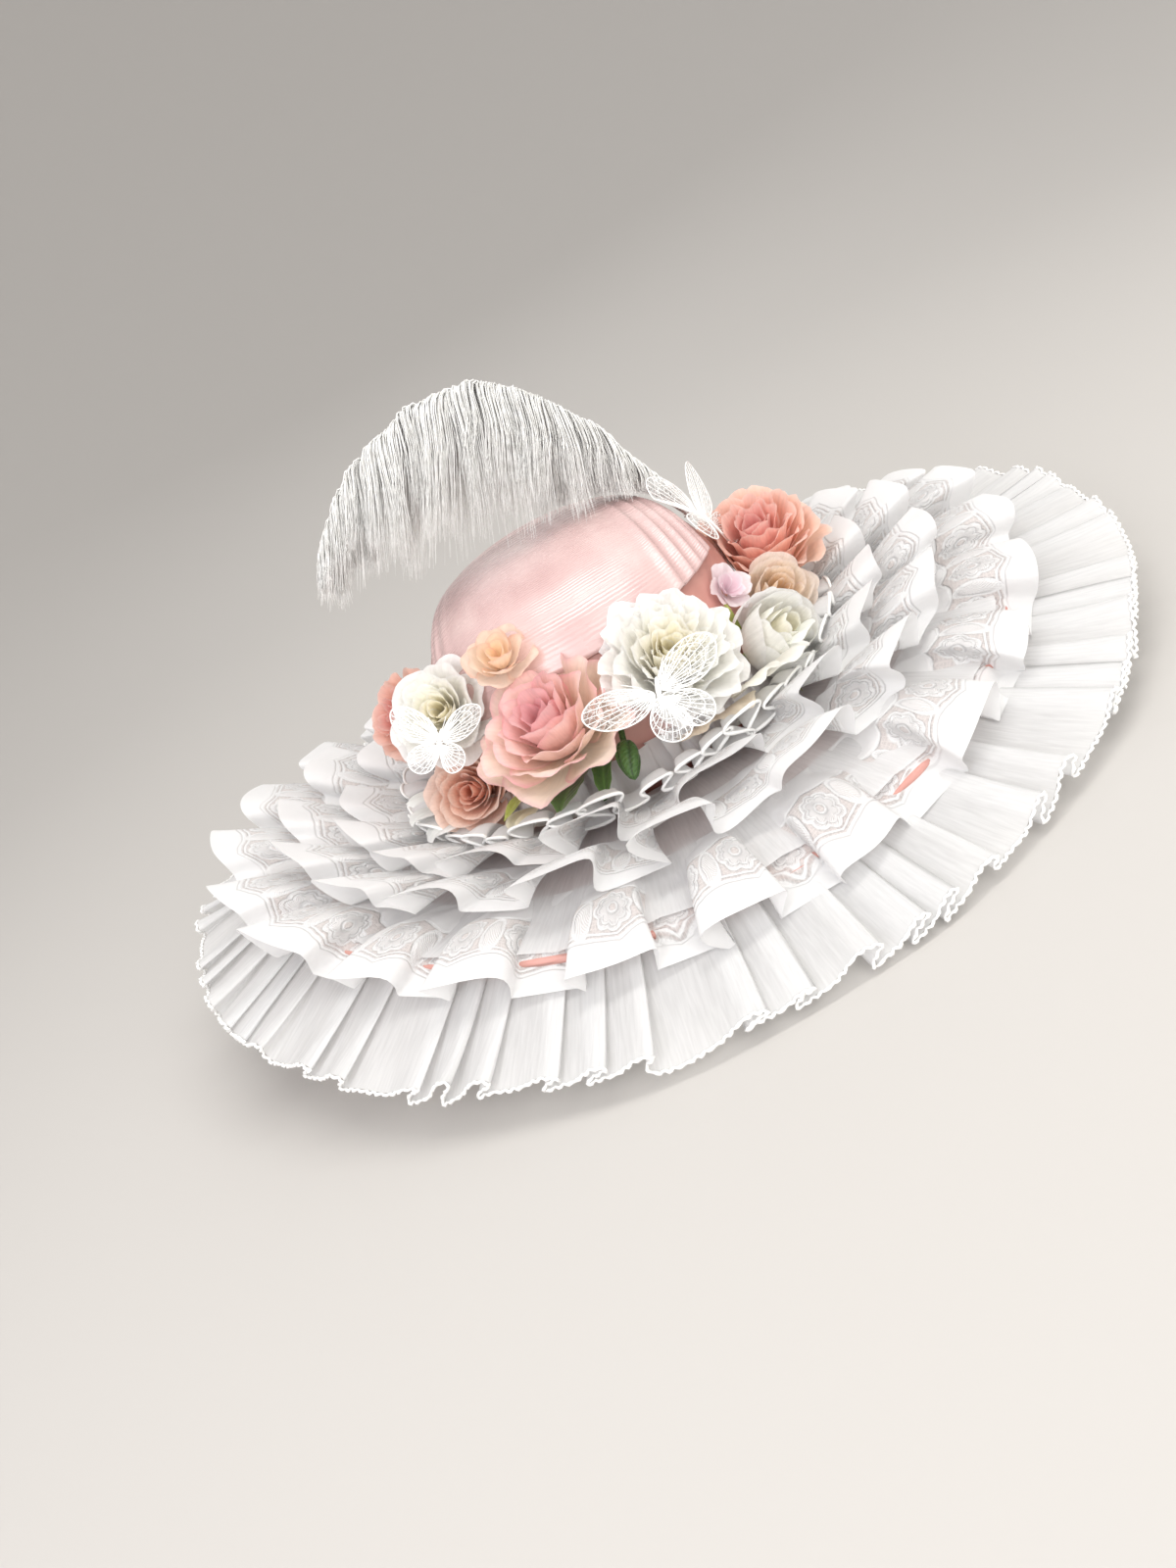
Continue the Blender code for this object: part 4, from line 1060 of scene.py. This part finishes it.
# leaves: printed polyester leaf cloth, waxy green, paler ribs pressed in
leafCloth, leafTree, leafShader = newMaterial("pressedLeafCloth", {"Roughness": 0.5, "Sheen Weight": 0.15})
leafTint = addNode(leafTree, "ShaderNodeVertexColor", layer_name="tint")
leafUv = addNode(leafTree, "ShaderNodeUVMap", uv_map="cloth")
leafRibs = addNode(leafTree, "ShaderNodeTexWave", {"Vector": leafUv, "Scale": wavePeriod / (2.6 * mm),
                                                   "Distortion": 2.0, "Detail": 2.0},
                   wave_type="BANDS", bands_direction="DIAGONAL")
leafGrain = addNode(leafTree, "ShaderNodeTexNoise", {"Vector": leafUv, "Scale": 420.0, "Detail": 3.0})
leafRelief = addNode(leafTree, "ShaderNodeMath",
                     {0: leafRibs.outputs[1], 1: leafGrain.outputs[0]}, operation="ADD")
leafBump = addNode(leafTree, "ShaderNodeBump", {"Height": leafRelief, "Strength": 0.5, "Distance": 0.3 * mm})
leafDye = addNode(leafTree, "ShaderNodeMapRange", {0: leafGrain, 1: 0.25, 2: 0.75, 3: 0.82, 4: 1.12})
leafMix = addNode(leafTree, "ShaderNodeVectorMath",
                  {0: leafTint.outputs[0], 1: leafDye}, operation="MULTIPLY")
feed(leafTree, leafShader, {"Normal": leafBump, "Base Color": leafMix})

# root: degrees round the crown and mm up; tip: degrees, mm out and mm up
leaves = [
    {"name": "front_leaf", "root": (250, 27), "tip": (248, 137, 29), "across": 20, "teeth": 5,
     "colour": "#3B5A24", "rim": "#557A38"},
    {"name": "bud_leaf", "root": (259, 36), "tip": (256, 130, 22), "across": 11, "teeth": 4,
     "colour": "#33501F", "rim": "#4B6C30"},
    {"name": "left_stem", "root": (234, 27), "tip": (233, 128, 29), "across": 8, "teeth": 0,
     "colour": "#A3AE4C", "rim": "#B4BC62"},
]


def mixed(colour, other, share):
    return linear(colour) + (linear(other) - linear(colour)) * share


def leafLine(row):
    azimuth, height = row["root"]
    root = domePoint(math.radians(azimuth), domeShare(height * mm), -0.3 * mm)
    azimuth, reach, height = row["tip"]
    return root, around(reach * mm, math.radians(azimuth), height * mm)


def makeLeaf(row, rows=30, cols=13):
    root, tip = leafLine(row)
    side = (tip - root).cross(Vector((0, 0, 1))).normalized()
    points, tints = [], []
    for i in range(rows):
        s = i / (rows - 1)
        half = row["across"] / 2 * mm * (0.12 + 0.88 * math.sin(math.pi * min(1.0, 0.08 + 0.90 * s)) ** 0.8)
        tooth = 1 - 0.12 * abs(math.sin(math.pi * row["teeth"] * s)) if row["teeth"] else 1.0
        middle = root.lerp(tip, s) + Vector((0, 0, 2.0 * mm * math.sin(math.pi * s)))
        for j in range(cols):
            w = 2 * j / (cols - 1) - 1
            wide = half * (1 - (1 - tooth) * abs(w))
            rise = abs(w) * half * 0.22 + 0.5 * mm * math.sin(9 * s + 2 * w) * abs(w)
            points.append(middle + side * wide * w + Vector((0, 0, rise)))
            rib = math.exp(-(w / 0.12) ** 2)
            tints.append(mixed(row["colour"], row["rim"], min(1.0, rib + abs(w) ** 4)))
    long = (tip - root).length

    def uvOf(i, j):
        return (row["across"] * mm * abs(j / (cols - 1) - 0.5), long * i / (rows - 1))

    piece = makePiece(row["name"] + "_cloth", points, gridFaces(rows, cols, False), leafCloth,
                      gridUvs(rows, cols, False, uvOf), tints)
    dress(piece, "leaf_cloth", *([row["name"]] if row["name"] in frame["nodes"] else []))


for row in leaves:
    makeLeaf(row)

budLook = {"root": (266, 44), "tip": (263, 128, 24), "start": 0.48, "end": 0.985, "fat": 5.6, "stem": 1.5,
           "sides": 40, "rows": 26, "colour": "#3E6126", "shade": "#1E3312"}


def makeGreenBud():
    look = budLook
    root, tip = leafLine(look)
    ahead = (tip - root).normalized()
    side = ahead.cross(Vector((0, 0, 1))).normalized()
    over = side.cross(ahead)
    rows, sides, stem = look["rows"], look["sides"], look["stem"]
    points, tints = [], []
    for i in range(rows):
        s = i / (rows - 1)
        middle = root.lerp(tip, s) + Vector((0, 0, 2.4 * mm * math.sin(math.pi * s)))
        bud = min(1.0, max(0.0, (s - look["start"]) / (look["end"] - look["start"])))
        fat = stem * (1 if bud == 0 else 0.3)
        if 0 < bud < 1:
            fat = stem + (look["fat"] - stem) * math.sin(math.pi * bud ** 0.8) ** 0.75
        for j in range(sides):
            turn = 2 * math.pi * j / sides
            groove = abs(math.sin(2.5 * turn + 2.2 * bud))              # five sepals wrapped round the bud
            reach = fat * mm * (0.74 + 0.26 * min(1.0, 1.8 * groove))
            points.append(middle + side * (reach * math.cos(turn)) + over * (reach * 0.86 * math.sin(turn)))
            # painted shade: the grooves between the sepals take the dark shade green, the sepals' ridges the
            # bud's own green
            tints.append(mixed(look["shade"], look["colour"], min(1.0, 2.0 * groove)))
    faces, uvs = [], []
    for i in range(rows - 1):
        for j in range(sides):
            k = (j + 1) % sides
            faces.append((i * sides + j, i * sides + k, (i + 1) * sides + k, (i + 1) * sides + j))
            low, high = i * 4 * mm, (i + 1) * 4 * mm
            uvs += [(j * mm, low), ((j + 1) * mm, low), ((j + 1) * mm, high), (j * mm, high)]
    for i, order in ((0, -1), (rows - 1, 1)):
        faces.append(tuple(range(i * sides, (i + 1) * sides))[::order])
        uvs += [(0, 0)] * sides
    piece = makePiece("green_bud_cloth", points, faces, leafCloth, uvs, tints)
    turnOut(piece)
    dress(piece, "leaf_cloth", "green_bud")


makeGreenBud()

# sepals of the white rosebud, and the single petals tucked in beside the flowers
sepalLook = {"on": "white_rosebud", "turns": (0.2, 1.9, 2.9, 4.2, 5.4),
             "reach": (0.74, 0.86, 0.72, 0.90, 0.74), "high": 0.66, "wide": 7.5, "rows": 16, "cols": 7,
             "colour": "#9DAE4C", "tip": "#B9C26A"}
# in mm and degrees: place, the way it points and how steeply it rises, length, width and bend, then colours
loosePetals = [
    ((47, -99, 22), 292, 24, 30, 28, 22, "#F1EEDC", "#FBFAF2"),
    ((58, -94, 21), 312, 20, 32, 26, 18, "#F4F1E2", "#FCFBF5"),
    ((36, -102, 20), 280, 14, 26, 26, 24, "#EAD9C0", "#F3E6D2"),
    ((20, -104, 20), 268, 18, 24, 22, 26, "#E6D0B4", "#F0E0CA"),
    ((72, -84, 22), 318, 26, 27, 24, 18, "#F1F2E4", "#FBFCF6"),
    ((-96, -40, 24), 204, 20, 30, 24, 16, "#F0F1EC", "#FAFAF7"),
    ((-92, -52, 22), 214, 12, 30, 26, 18, "#F1F2EE", "#FBFBF9"),
    ((-97, -26, 26), 192, 24, 26, 22, 18, "#EFF0EA", "#FAFAF7"),
    ((-62, -84, 20), 236, 12, 24, 22, 20, "#E9DDB8", "#F2EBD2"),
]


def makeSepals():
    look = sepalLook
    row = next(f for f in flowers if f["name"] == look["on"])
    chance = random.Random(3)
    flower, radius, deep = flowerFrame(row), row["across"] / 2 * mm, row["deep"] * mm
    gather = newGather()
    for theta, reach in zip(look["turns"], look["reach"]):
        tip = (radius * reach, deep * look["high"] * reach)
        radial, aside, along, b, a = petalPoints(
            (radius * 0.10, deep * 0.02), tip, look["wide"] * mm, radius * 0.3, -24, 50, 0.5 * mm, chance,
            rows=look["rows"], cols=look["cols"], pinch=0.8)
        aside = aside * (1 - 0.85 * b ** 2)[:, None]
        colour = mixed(look["colour"], look["tip"], (b[:, None] + 0 * a)[..., None])
        addPetal(gather, flower, theta, (radial + 1.2 * mm, aside, along, b, a), colour)
    makePetals("rosebud_sepals", gather, leafCloth, "leaf_cloth")


def makeLoosePetals():
    chance = random.Random(11)
    gather = newGather()
    for place, way, rise, long, wide, cup, colour, rim in loosePetals:
        ahead = pointing(way, rise)
        side = Vector((-math.sin(math.radians(way)), math.cos(math.radians(way)), 0))
        flower = (Vector(place) * mm, ahead.cross(side), ahead, side)
        grid = petalPoints((0.0, 0.0), (long * mm, 1.0 * mm), wide * mm, cup * mm, 16, 40, 1.6 * mm, chance)
        b, a = grid[3], grid[4]
        edge = np.clip(np.abs(a) ** 3 + (b ** 4)[:, None], 0, 1)[..., None]
        addPetal(gather, flower, 0.0, grid, mixed(colour, rim, edge))
    makePetals("loose_petals", gather, petalSilk, "cream_silk")


makeSepals()
makeLoosePetals()
print("greenery and loose petals ready")

# butterflies: stiffened organza wings; corded outline and veins, with an open net between them
wingNet, netTree, netShader = newMaterial("stiffenedOrganza", {
    "Base Color": linear("#F3F5F6"), "Roughness": 0.35, "Sheen Weight": 0.3, "Specular IOR Level": 0.5})
netUv = addNode(netTree, "ShaderNodeUVMap", uv_map="cloth")
netCells = addNode(netTree, "ShaderNodeTexVoronoi",
                   {"Vector": netUv, "Scale": 1 / (2.4 * mm), "Randomness": 0.8}, feature="DISTANCE_TO_EDGE")
netOpen = addNode(netTree, "ShaderNodeMapRange", {0: netCells, 1: 0.02, 2: 0.07, 3: 0.50, 4: 0.10})
netBump = addNode(netTree, "ShaderNodeBump", {"Height": netOpen, "Strength": 0.6, "Distance": 0.2 * mm})
feed(netTree, netShader, {"Alpha": netOpen, "Normal": netBump})

# the wings' outlines and the body are in halves of the span
wingLook = {
    "upper": [(0.04, 0.06), (0.08, 0.36), (0.26, 0.66), (0.56, 0.88), (0.86, 0.93), (0.98, 0.78),
              (0.94, 0.50), (0.74, 0.22), (0.44, 0.05)],
    "lower": [(0.04, -0.04), (0.36, 0.00), (0.62, -0.06), (0.78, -0.24), (0.76, -0.48), (0.56, -0.64),
              (0.32, -0.60), (0.14, -0.38)],
    "roots": {"upper": (0.05, 0.08), "lower": (0.05, -0.06)}, "shares": (0.2, 0.4, 0.6, 0.8, 0.92, 1.0),
    "cord": 0.36 * mm, "vein": 0.22 * mm, "steps": 6, "clear": 6.5 * mm, "rings": (0.80, 0.52),
    # place along the body and its half thickness in mm
    "body": [(-0.36, 0.5), (-0.22, 0.9), (-0.08, 1.1), (0.06, 1.4), (0.16, 1.2), (0.24, 0.9), (0.28, 0.4)],
}
butterflies = [
    {"name": "peony_butterfly", "on": "cream_peony", "lift": 0.8, "aside": (-26, -15.5), "span": 58,
     "spin": -5, "sweep": 32, "fold": 4},
    {"name": "rose_butterfly", "on": None, "place": (83, -14, 78), "span": 60,
     "right": ((0.488, 0.869, -0.031), (-0.152, 0.104, 0.986)),
     "left": ((-0.706, -0.548, 0.448), (0.077, 0.549, 0.792))},
    {"name": "left_butterfly", "on": "cream_rose", "lift": 0.6, "aside": (-3.5, -16), "span": 42,
     "spin": -25, "sweep": 12, "fold": 16},
]


def smoothLoop(corners, steps):
    out = []
    for k in range(len(corners)):
        around = [corners[(k + m) % len(corners)] for m in (-1, 0, 1, 2)]
        for step in range(steps):
            out.append(tuple(catmullRom(*four, step / steps) for four in zip(*around)))
    return out


def wingWays(row):
    # the butterfly's place, and for each side the ways that its wing and its front edge point
    if not row["on"]:
        return Vector(row["place"]) * mm, {
            m: [Vector(v).normalized() for v in row[key]] for m, key in ((1, "right"), (-1, "left"))}
    carrier = next(f for f in flowers if f["name"] == row["on"])
    back, outward, side, over = flowerFrame(carrier)
    place = back + outward * (carrier["deep"] + row["lift"]) * mm
    place = place + side * row["aside"][0] * mm + over * row["aside"][1] * mm
    turn = Matrix.Rotation(math.radians(row["spin"]), 3, outward)
    fold, sweep = math.radians(row["fold"]), math.radians(row["sweep"])
    nose, out = turn @ over, turn @ over.cross(outward)
    ways = {}
    for m in (1, -1):
        wide = out * m * math.cos(fold) + outward * math.sin(fold)
        ways[m] = (wide * math.cos(sweep) - nose * math.sin(sweep),
                   nose * math.cos(sweep) + wide * math.sin(sweep))
    return place, ways


def inward(mirror, root, edge, share, swerve=0.0):
    # a place on the line from a wing's root to its edge
    x, y = (a + (b - a) * share for a, b in zip(root, edge))
    return mirror * (x + swerve * 0.4), y + swerve


def makeButterfly(row):
    look = wingLook
    half = row["span"] / 2 * mm
    place, ways = wingWays(row)

    def spot(x, y, lift=0.0):
        out, nose = ways[1 if x >= 0 else -1]
        face = out.cross(nose) * (1 if x >= 0 else -1)
        bend = 0.05 * math.sin(3.0 * abs(x)) + 0.03 * y * y
        at = place + out * (abs(x) * half) + nose * (y * half) + face * (bend * half + lift)
        return Vector(outsideCrown(np.array(at), look["clear"] + lift))

    points, faces, uvs, paths = [], [], [], []
    for mirror in (1, -1):
        for wing, root in look["roots"].items():
            loop = smoothLoop(look[wing], look["steps"])
            start, width = len(points), len(look["shares"])
            flat = [inward(mirror, root, edge, s) for edge in loop for s in look["shares"]]
            flat.append((mirror * root[0], root[1]))
            points += [spot(x, y) for x, y in flat]
            middle = len(points) - 1
            loopFaces = gridFaces(len(loop), width, True, start)
            loopFaces += [(start + i * width, middle, start + ((i + 1) % len(loop)) * width)
                          for i in range(len(loop))]
            if mirror < 0:
                loopFaces = [f[::-1] for f in loopFaces]
            faces += loopFaces
            uvs += [(flat[k - start][0] * half, flat[k - start][1] * half) for f in loopFaces for k in f]
            paths.append([(spot(mirror * x, y, 0.1 * mm), look["cord"]) for x, y in loop + loop[:1]])
            for ring in look["rings"]:
                paths.append([(spot(*inward(mirror, root, edge, ring), 0.15 * mm), look["vein"] * 0.8)
                              for edge in loop[4:-3]])
            for edge in loop[5:-4:3]:
                bow = 0.05 * (1 if edge[1] > edge[0] else -1)
                paths.append([(spot(*inward(mirror, root, edge, s, bow * math.sin(math.pi * s)), 0.2 * mm),
                               look["vein"] * (1.5 - 0.7 * s)) for s in [k / 8 for k in range(9)]])
    paths.append([(spot(0, y, 0.6 * mm), r * mm) for y, r in look["body"]])
    for mirror in (1, -1):                             # feelers
        paths.append([(spot(mirror * (0.02 + 0.13 * k / 6), 0.26 + 0.30 * k / 6, (0.6 + 2.0 * k / 6) * mm),
                       look["vein"]) for k in range(7)])
    wings = makePiece(row["name"] + "_wings", points, faces, wingNet, uvs)
    dress(wings, "white_lace", row["name"])
    cords = makeStrands(row["name"] + "_cords", paths, 5, overlockThread)
    dress(cords, "white_lace", row["name"])


for row in butterflies:
    makeButterfly(row)
print("butterflies ready")

# plume: ostrich feather; barbs hang from the quill in locks, each lock's tips drawn together
# barb: silky keratin filaments, off-white, with a soft silvery glint and grey shadow between them
ostrichBarb, barbTree, barbShader = newMaterial(
    "ostrichBarb", {"Roughness": 0.5, "Sheen Weight": 0.5, "Specular IOR Level": 0.4})
barbPlace = addNode(barbTree, "ShaderNodeTexCoord").outputs[3]
barbNoise = addNode(barbTree, "ShaderNodeTexNoise", {"Vector": barbPlace, "Scale": 240.0, "Detail": 2.0})
barbShade = addNode(barbTree, "ShaderNodeValToRGB", {"Fac": barbNoise})
setRamp(barbShade, [(0.30, "#E2E1DD"), (0.55, "#F6F6F4"), (0.75, "#FFFFFE")])
feed(barbTree, barbShader, {"Base Color": barbShade})

# stations along the quill: place, length of the barbs and half width of the vane, in mm
# pull: how far a clump's locks are drawn together; strays: locks that hang longer
plumeLook = {
    "stations": [((81.4, 22, 78), 6, 2.6), ((79, 19, 98), 11, 3.4), ((69, 9, 119), 30, 7),
                 ((56, 2, 148), 50, 11), ((38, 0, 175), 64, 13), ((15, 0, 194), 70, 14),
                 ((-16, 1, 198), 68, 13), ((-52, 2, 188), 50, 11), ((-80, 2, 169), 32, 7),
                 ((-95, 1, 154), 10, 3)],
    "hang": (-0.40, -0.36, -0.84), "locks": 430, "barbs": 12, "points": 11, "thick": 0.56 * mm,
    "margin": 5 * mm, "clumps": 44, "pull": 0.62, "strays": 26,
}


def clearOfCrown(p):
    margin = plumeLook["margin"]
    share = math.hypot(p.x / (hat["halfWidth"] + margin), p.y / (hat["halfLength"] + margin))
    return share ** 3 + max(0.0, p.z / (hat["height"] + margin)) ** 3 > 1


def plumeStation(t):
    stations = plumeLook["stations"]
    at = Vector([between([s[0][k] for s in stations], t) for k in range(3)]) * mm
    return at, between([s[1] for s in stations], t) * mm, between([s[2] for s in stations], t) * mm


def makePlume():
    look = plumeLook
    chance = random.Random(7)
    hang = Vector(look["hang"]).normalized()
    vanes = {"front": [], "back": []}
    for n in range(look["locks"]):
        t = (n + chance.random()) / look["locks"]
        at, barb, half = plumeStation(t)
        ahead = (plumeStation(min(1.0, t + 0.02))[0] - plumeStation(max(0.0, t - 0.02))[0]).normalized()
        side = ahead.cross(hang).normalized()
        lay = chance.choice((-1, 1))
        depth = chance.random() ** 0.7                                    # 1 is the outside of the vane
        clump = int(t * look["clumps"])
        odd = random.Random(90 + 2 * clump + (lay > 0))
        long, lean = odd.uniform(0.74, 1.06), odd.uniform(-0.06, 0.14)
        drawn = plumeStation(min(1.0, (clump + 0.5) / look["clumps"]))[0] - at
        if n % (look["locks"] // look["strays"]):
            long = long * chance.uniform(0.86, 1.04)
        else:
            long = 1.12
        lockTip = hang * barb * long + side * lay * half * (0.25 + 0.75 * depth)
        lockTip += ahead * (lean + chance.uniform(-0.05, 0.05)) * barb + drawn * look["pull"]
        for m in range(look["barbs"]):
            root = at + ahead * chance.uniform(-4, 4) * mm
            tip = lockTip + Vector([chance.gauss(0, 1) for _ in range(3)]) * 0.030 * barb
            start = side * lay * half * chance.uniform(0.5, 1.1) * depth
            path = []
            for k in range(look["points"]):
                s = k / (look["points"] - 1)
                out = start * math.sin(math.pi * min(1.0, s * 1.3) / 1.3) * (1 - 0.35 * s)
                sway = side * lay * 1.2 * mm * math.sin(4 * s + m)
                p = root + tip * (s ** 1.15) + out + sway
                arch = math.sin(math.pi * min(1.0, s * 2.2))
                p += Vector((0, 0, 1)) * 0.10 * barb * arch * (0.3 + 0.7 * depth)
                if k > 2 and not clearOfCrown(p):
                    break
                path.append((p, look["thick"] * (1.0 - 0.75 * s) * chance.uniform(0.8, 1.1)))
            if len(path) > 3:
                path = [(p, r * (1 - 0.6 * k / (len(path) - 1))) for k, (p, r) in enumerate(path)]
                vanes["front" if lay > 0 else "back"].append(path)
    for name, paths in vanes.items():
        piece = makeStrands("plume_" + name + "_barbs", paths, 3, ostrichBarb)
        dress(piece, "white_feather", "plume")
        triangles = sum(len(p.vertices) - 2 for p in piece.data.polygons)
        print("plume", name, len(paths), "barbs", triangles, "triangles")


makePlume()
print("plume ready")

# floor, light and camera

cameraLook = {"place": (-0.0253, -0.6943, 0.2625), "right": (0.86024, -0.17837, -0.47767),
              "up": (0.50965, 0.32904, 0.79498), "back": (0.01538, -0.92732, 0.37396),
              "focalPixels": 1400, "tall": 1600, "sensor": 36, "near": 0.01}


def makeCamera():
    look = cameraLook
    turn = Matrix([look["right"], look["up"], look["back"]]).transposed()
    data = bpy.data.cameras.new("camera")
    data.sensor_fit = "VERTICAL"
    data.sensor_height = look["sensor"]
    data.lens = look["focalPixels"] / look["tall"] * look["sensor"]
    data.clip_start = look["near"]
    camera = bpy.data.objects.new("camera", data)
    camera.matrix_world = Matrix.Translation(look["place"]) @ turn.to_4x4()
    bpy.context.scene.collection.objects.link(camera)
    bpy.context.scene.camera = camera


floorLook = {"flat": 1.1, "flatRings": 6, "sweep": 2.4, "sweepRings": 24, "sections": 96, "below": 2 * mm}


def makeFloor():
    # matt backdrop paper, so that it takes a soft shadow and no reflection
    material, tree, shader = newMaterial("paperFloor", {"Base Color": linear("#C6C3BF"), "Roughness": 0.9,
                                                        "Specular IOR Level": 0.1})
    place = addNode(tree, "ShaderNodeTexCoord").outputs[3]
    grain = addNode(tree, "ShaderNodeTexNoise", {"Vector": place, "Scale": 300.0})
    bump = addNode(tree, "ShaderNodeBump", {"Height": grain, "Strength": 0.1, "Distance": 0.2 * mm})
    feed(tree, shader, {"Normal": bump})
    look = floorLook
    low = cadBox[0][2] - look["below"]
    rings = look["flatRings"]
    profile = [(look["flat"] * k / rings, 0.0) for k in range(1, rings + 1)]
    for k in range(1, look["sweepRings"] + 1):        # the floor sweeps up all round into a plain wall
        turn = math.pi / 2 * k / look["sweepRings"]
        profile.append((look["flat"] + look["sweep"] * math.sin(turn), look["sweep"] * (1 - math.cos(turn))))
    points = [(0, 0, low)]
    for i in range(look["sections"]):
        azimuth = 2 * math.pi * i / look["sections"]
        points += [around(reach, azimuth, low + rise) for reach, rise in profile]
    width = len(profile)
    faces = [f[::-1] for f in gridFaces(look["sections"], width, True, 1)]
    faces += [(0, 1 + i * width, 1 + ((i + 1) % look["sections"]) * width) for i in range(look["sections"])]
    makePiece("floor", points, faces, material)


lampLook = [
    {"name": "key", "place": (0.30, -0.35, 1.45), "size": (1.6, 0.30), "power": 11.5, "colour": "#FFFDF9"},
    {"name": "fill", "place": (-0.9, -1.4, 0.8), "size": (1.2, 1.2), "power": 15.0, "colour": "#FBFAFF"},
    {"name": "front", "place": (0.7, -1.5, 0.7), "size": (1.2, 1.2), "power": 15.0, "colour": "#FFFEFB"},
    {"name": "top", "place": (0.0, 0.4, 2.8), "size": (3.0, 3.0), "power": 3.0, "colour": "#FFFFFF"},
    {"name": "rim", "place": (0.1, 1.3, 1.0), "size": (1.0, 1.0), "power": 3.0, "colour": "#FFFFFF"},
]


skyLook = {"colour": "#EDEBEA", "strength": 0.84}


def makeLight():
    for row in lampLook:
        data = bpy.data.lights.new(row["name"], "AREA")
        data.shape = "RECTANGLE"
        data.size, data.size_y = row["size"]
        data.energy = row["power"]
        data.color = linear(row["colour"])[:3]
        lamp = bpy.data.objects.new(row["name"], data)
        place = Vector(row["place"])
        away = (place - Vector((0, 0, 0.05))).normalized()
        # its long side lies along the hat's width
        long = (Vector((1, 0, 0)) - away * away.x).normalized()
        turn = Matrix([long, away.cross(long), away]).transposed()
        lamp.matrix_world = Matrix.Translation(place) @ turn.to_4x4()
        bpy.context.scene.collection.objects.link(lamp)
    # keeps white cloth white, as in the photograph
    bpy.context.scene.view_settings.view_transform = "Standard"
    world = bpy.data.worlds.new("softSky")
    bpy.context.scene.world = world
    world.use_nodes = True
    sky = world.node_tree.nodes["Background"]
    sky.inputs[0].default_value = linear(skyLook["colour"])
    sky.inputs[1].default_value = skyLook["strength"]


makeCamera()
makeFloor()
makeLight()
print("camera, floor and light ready")
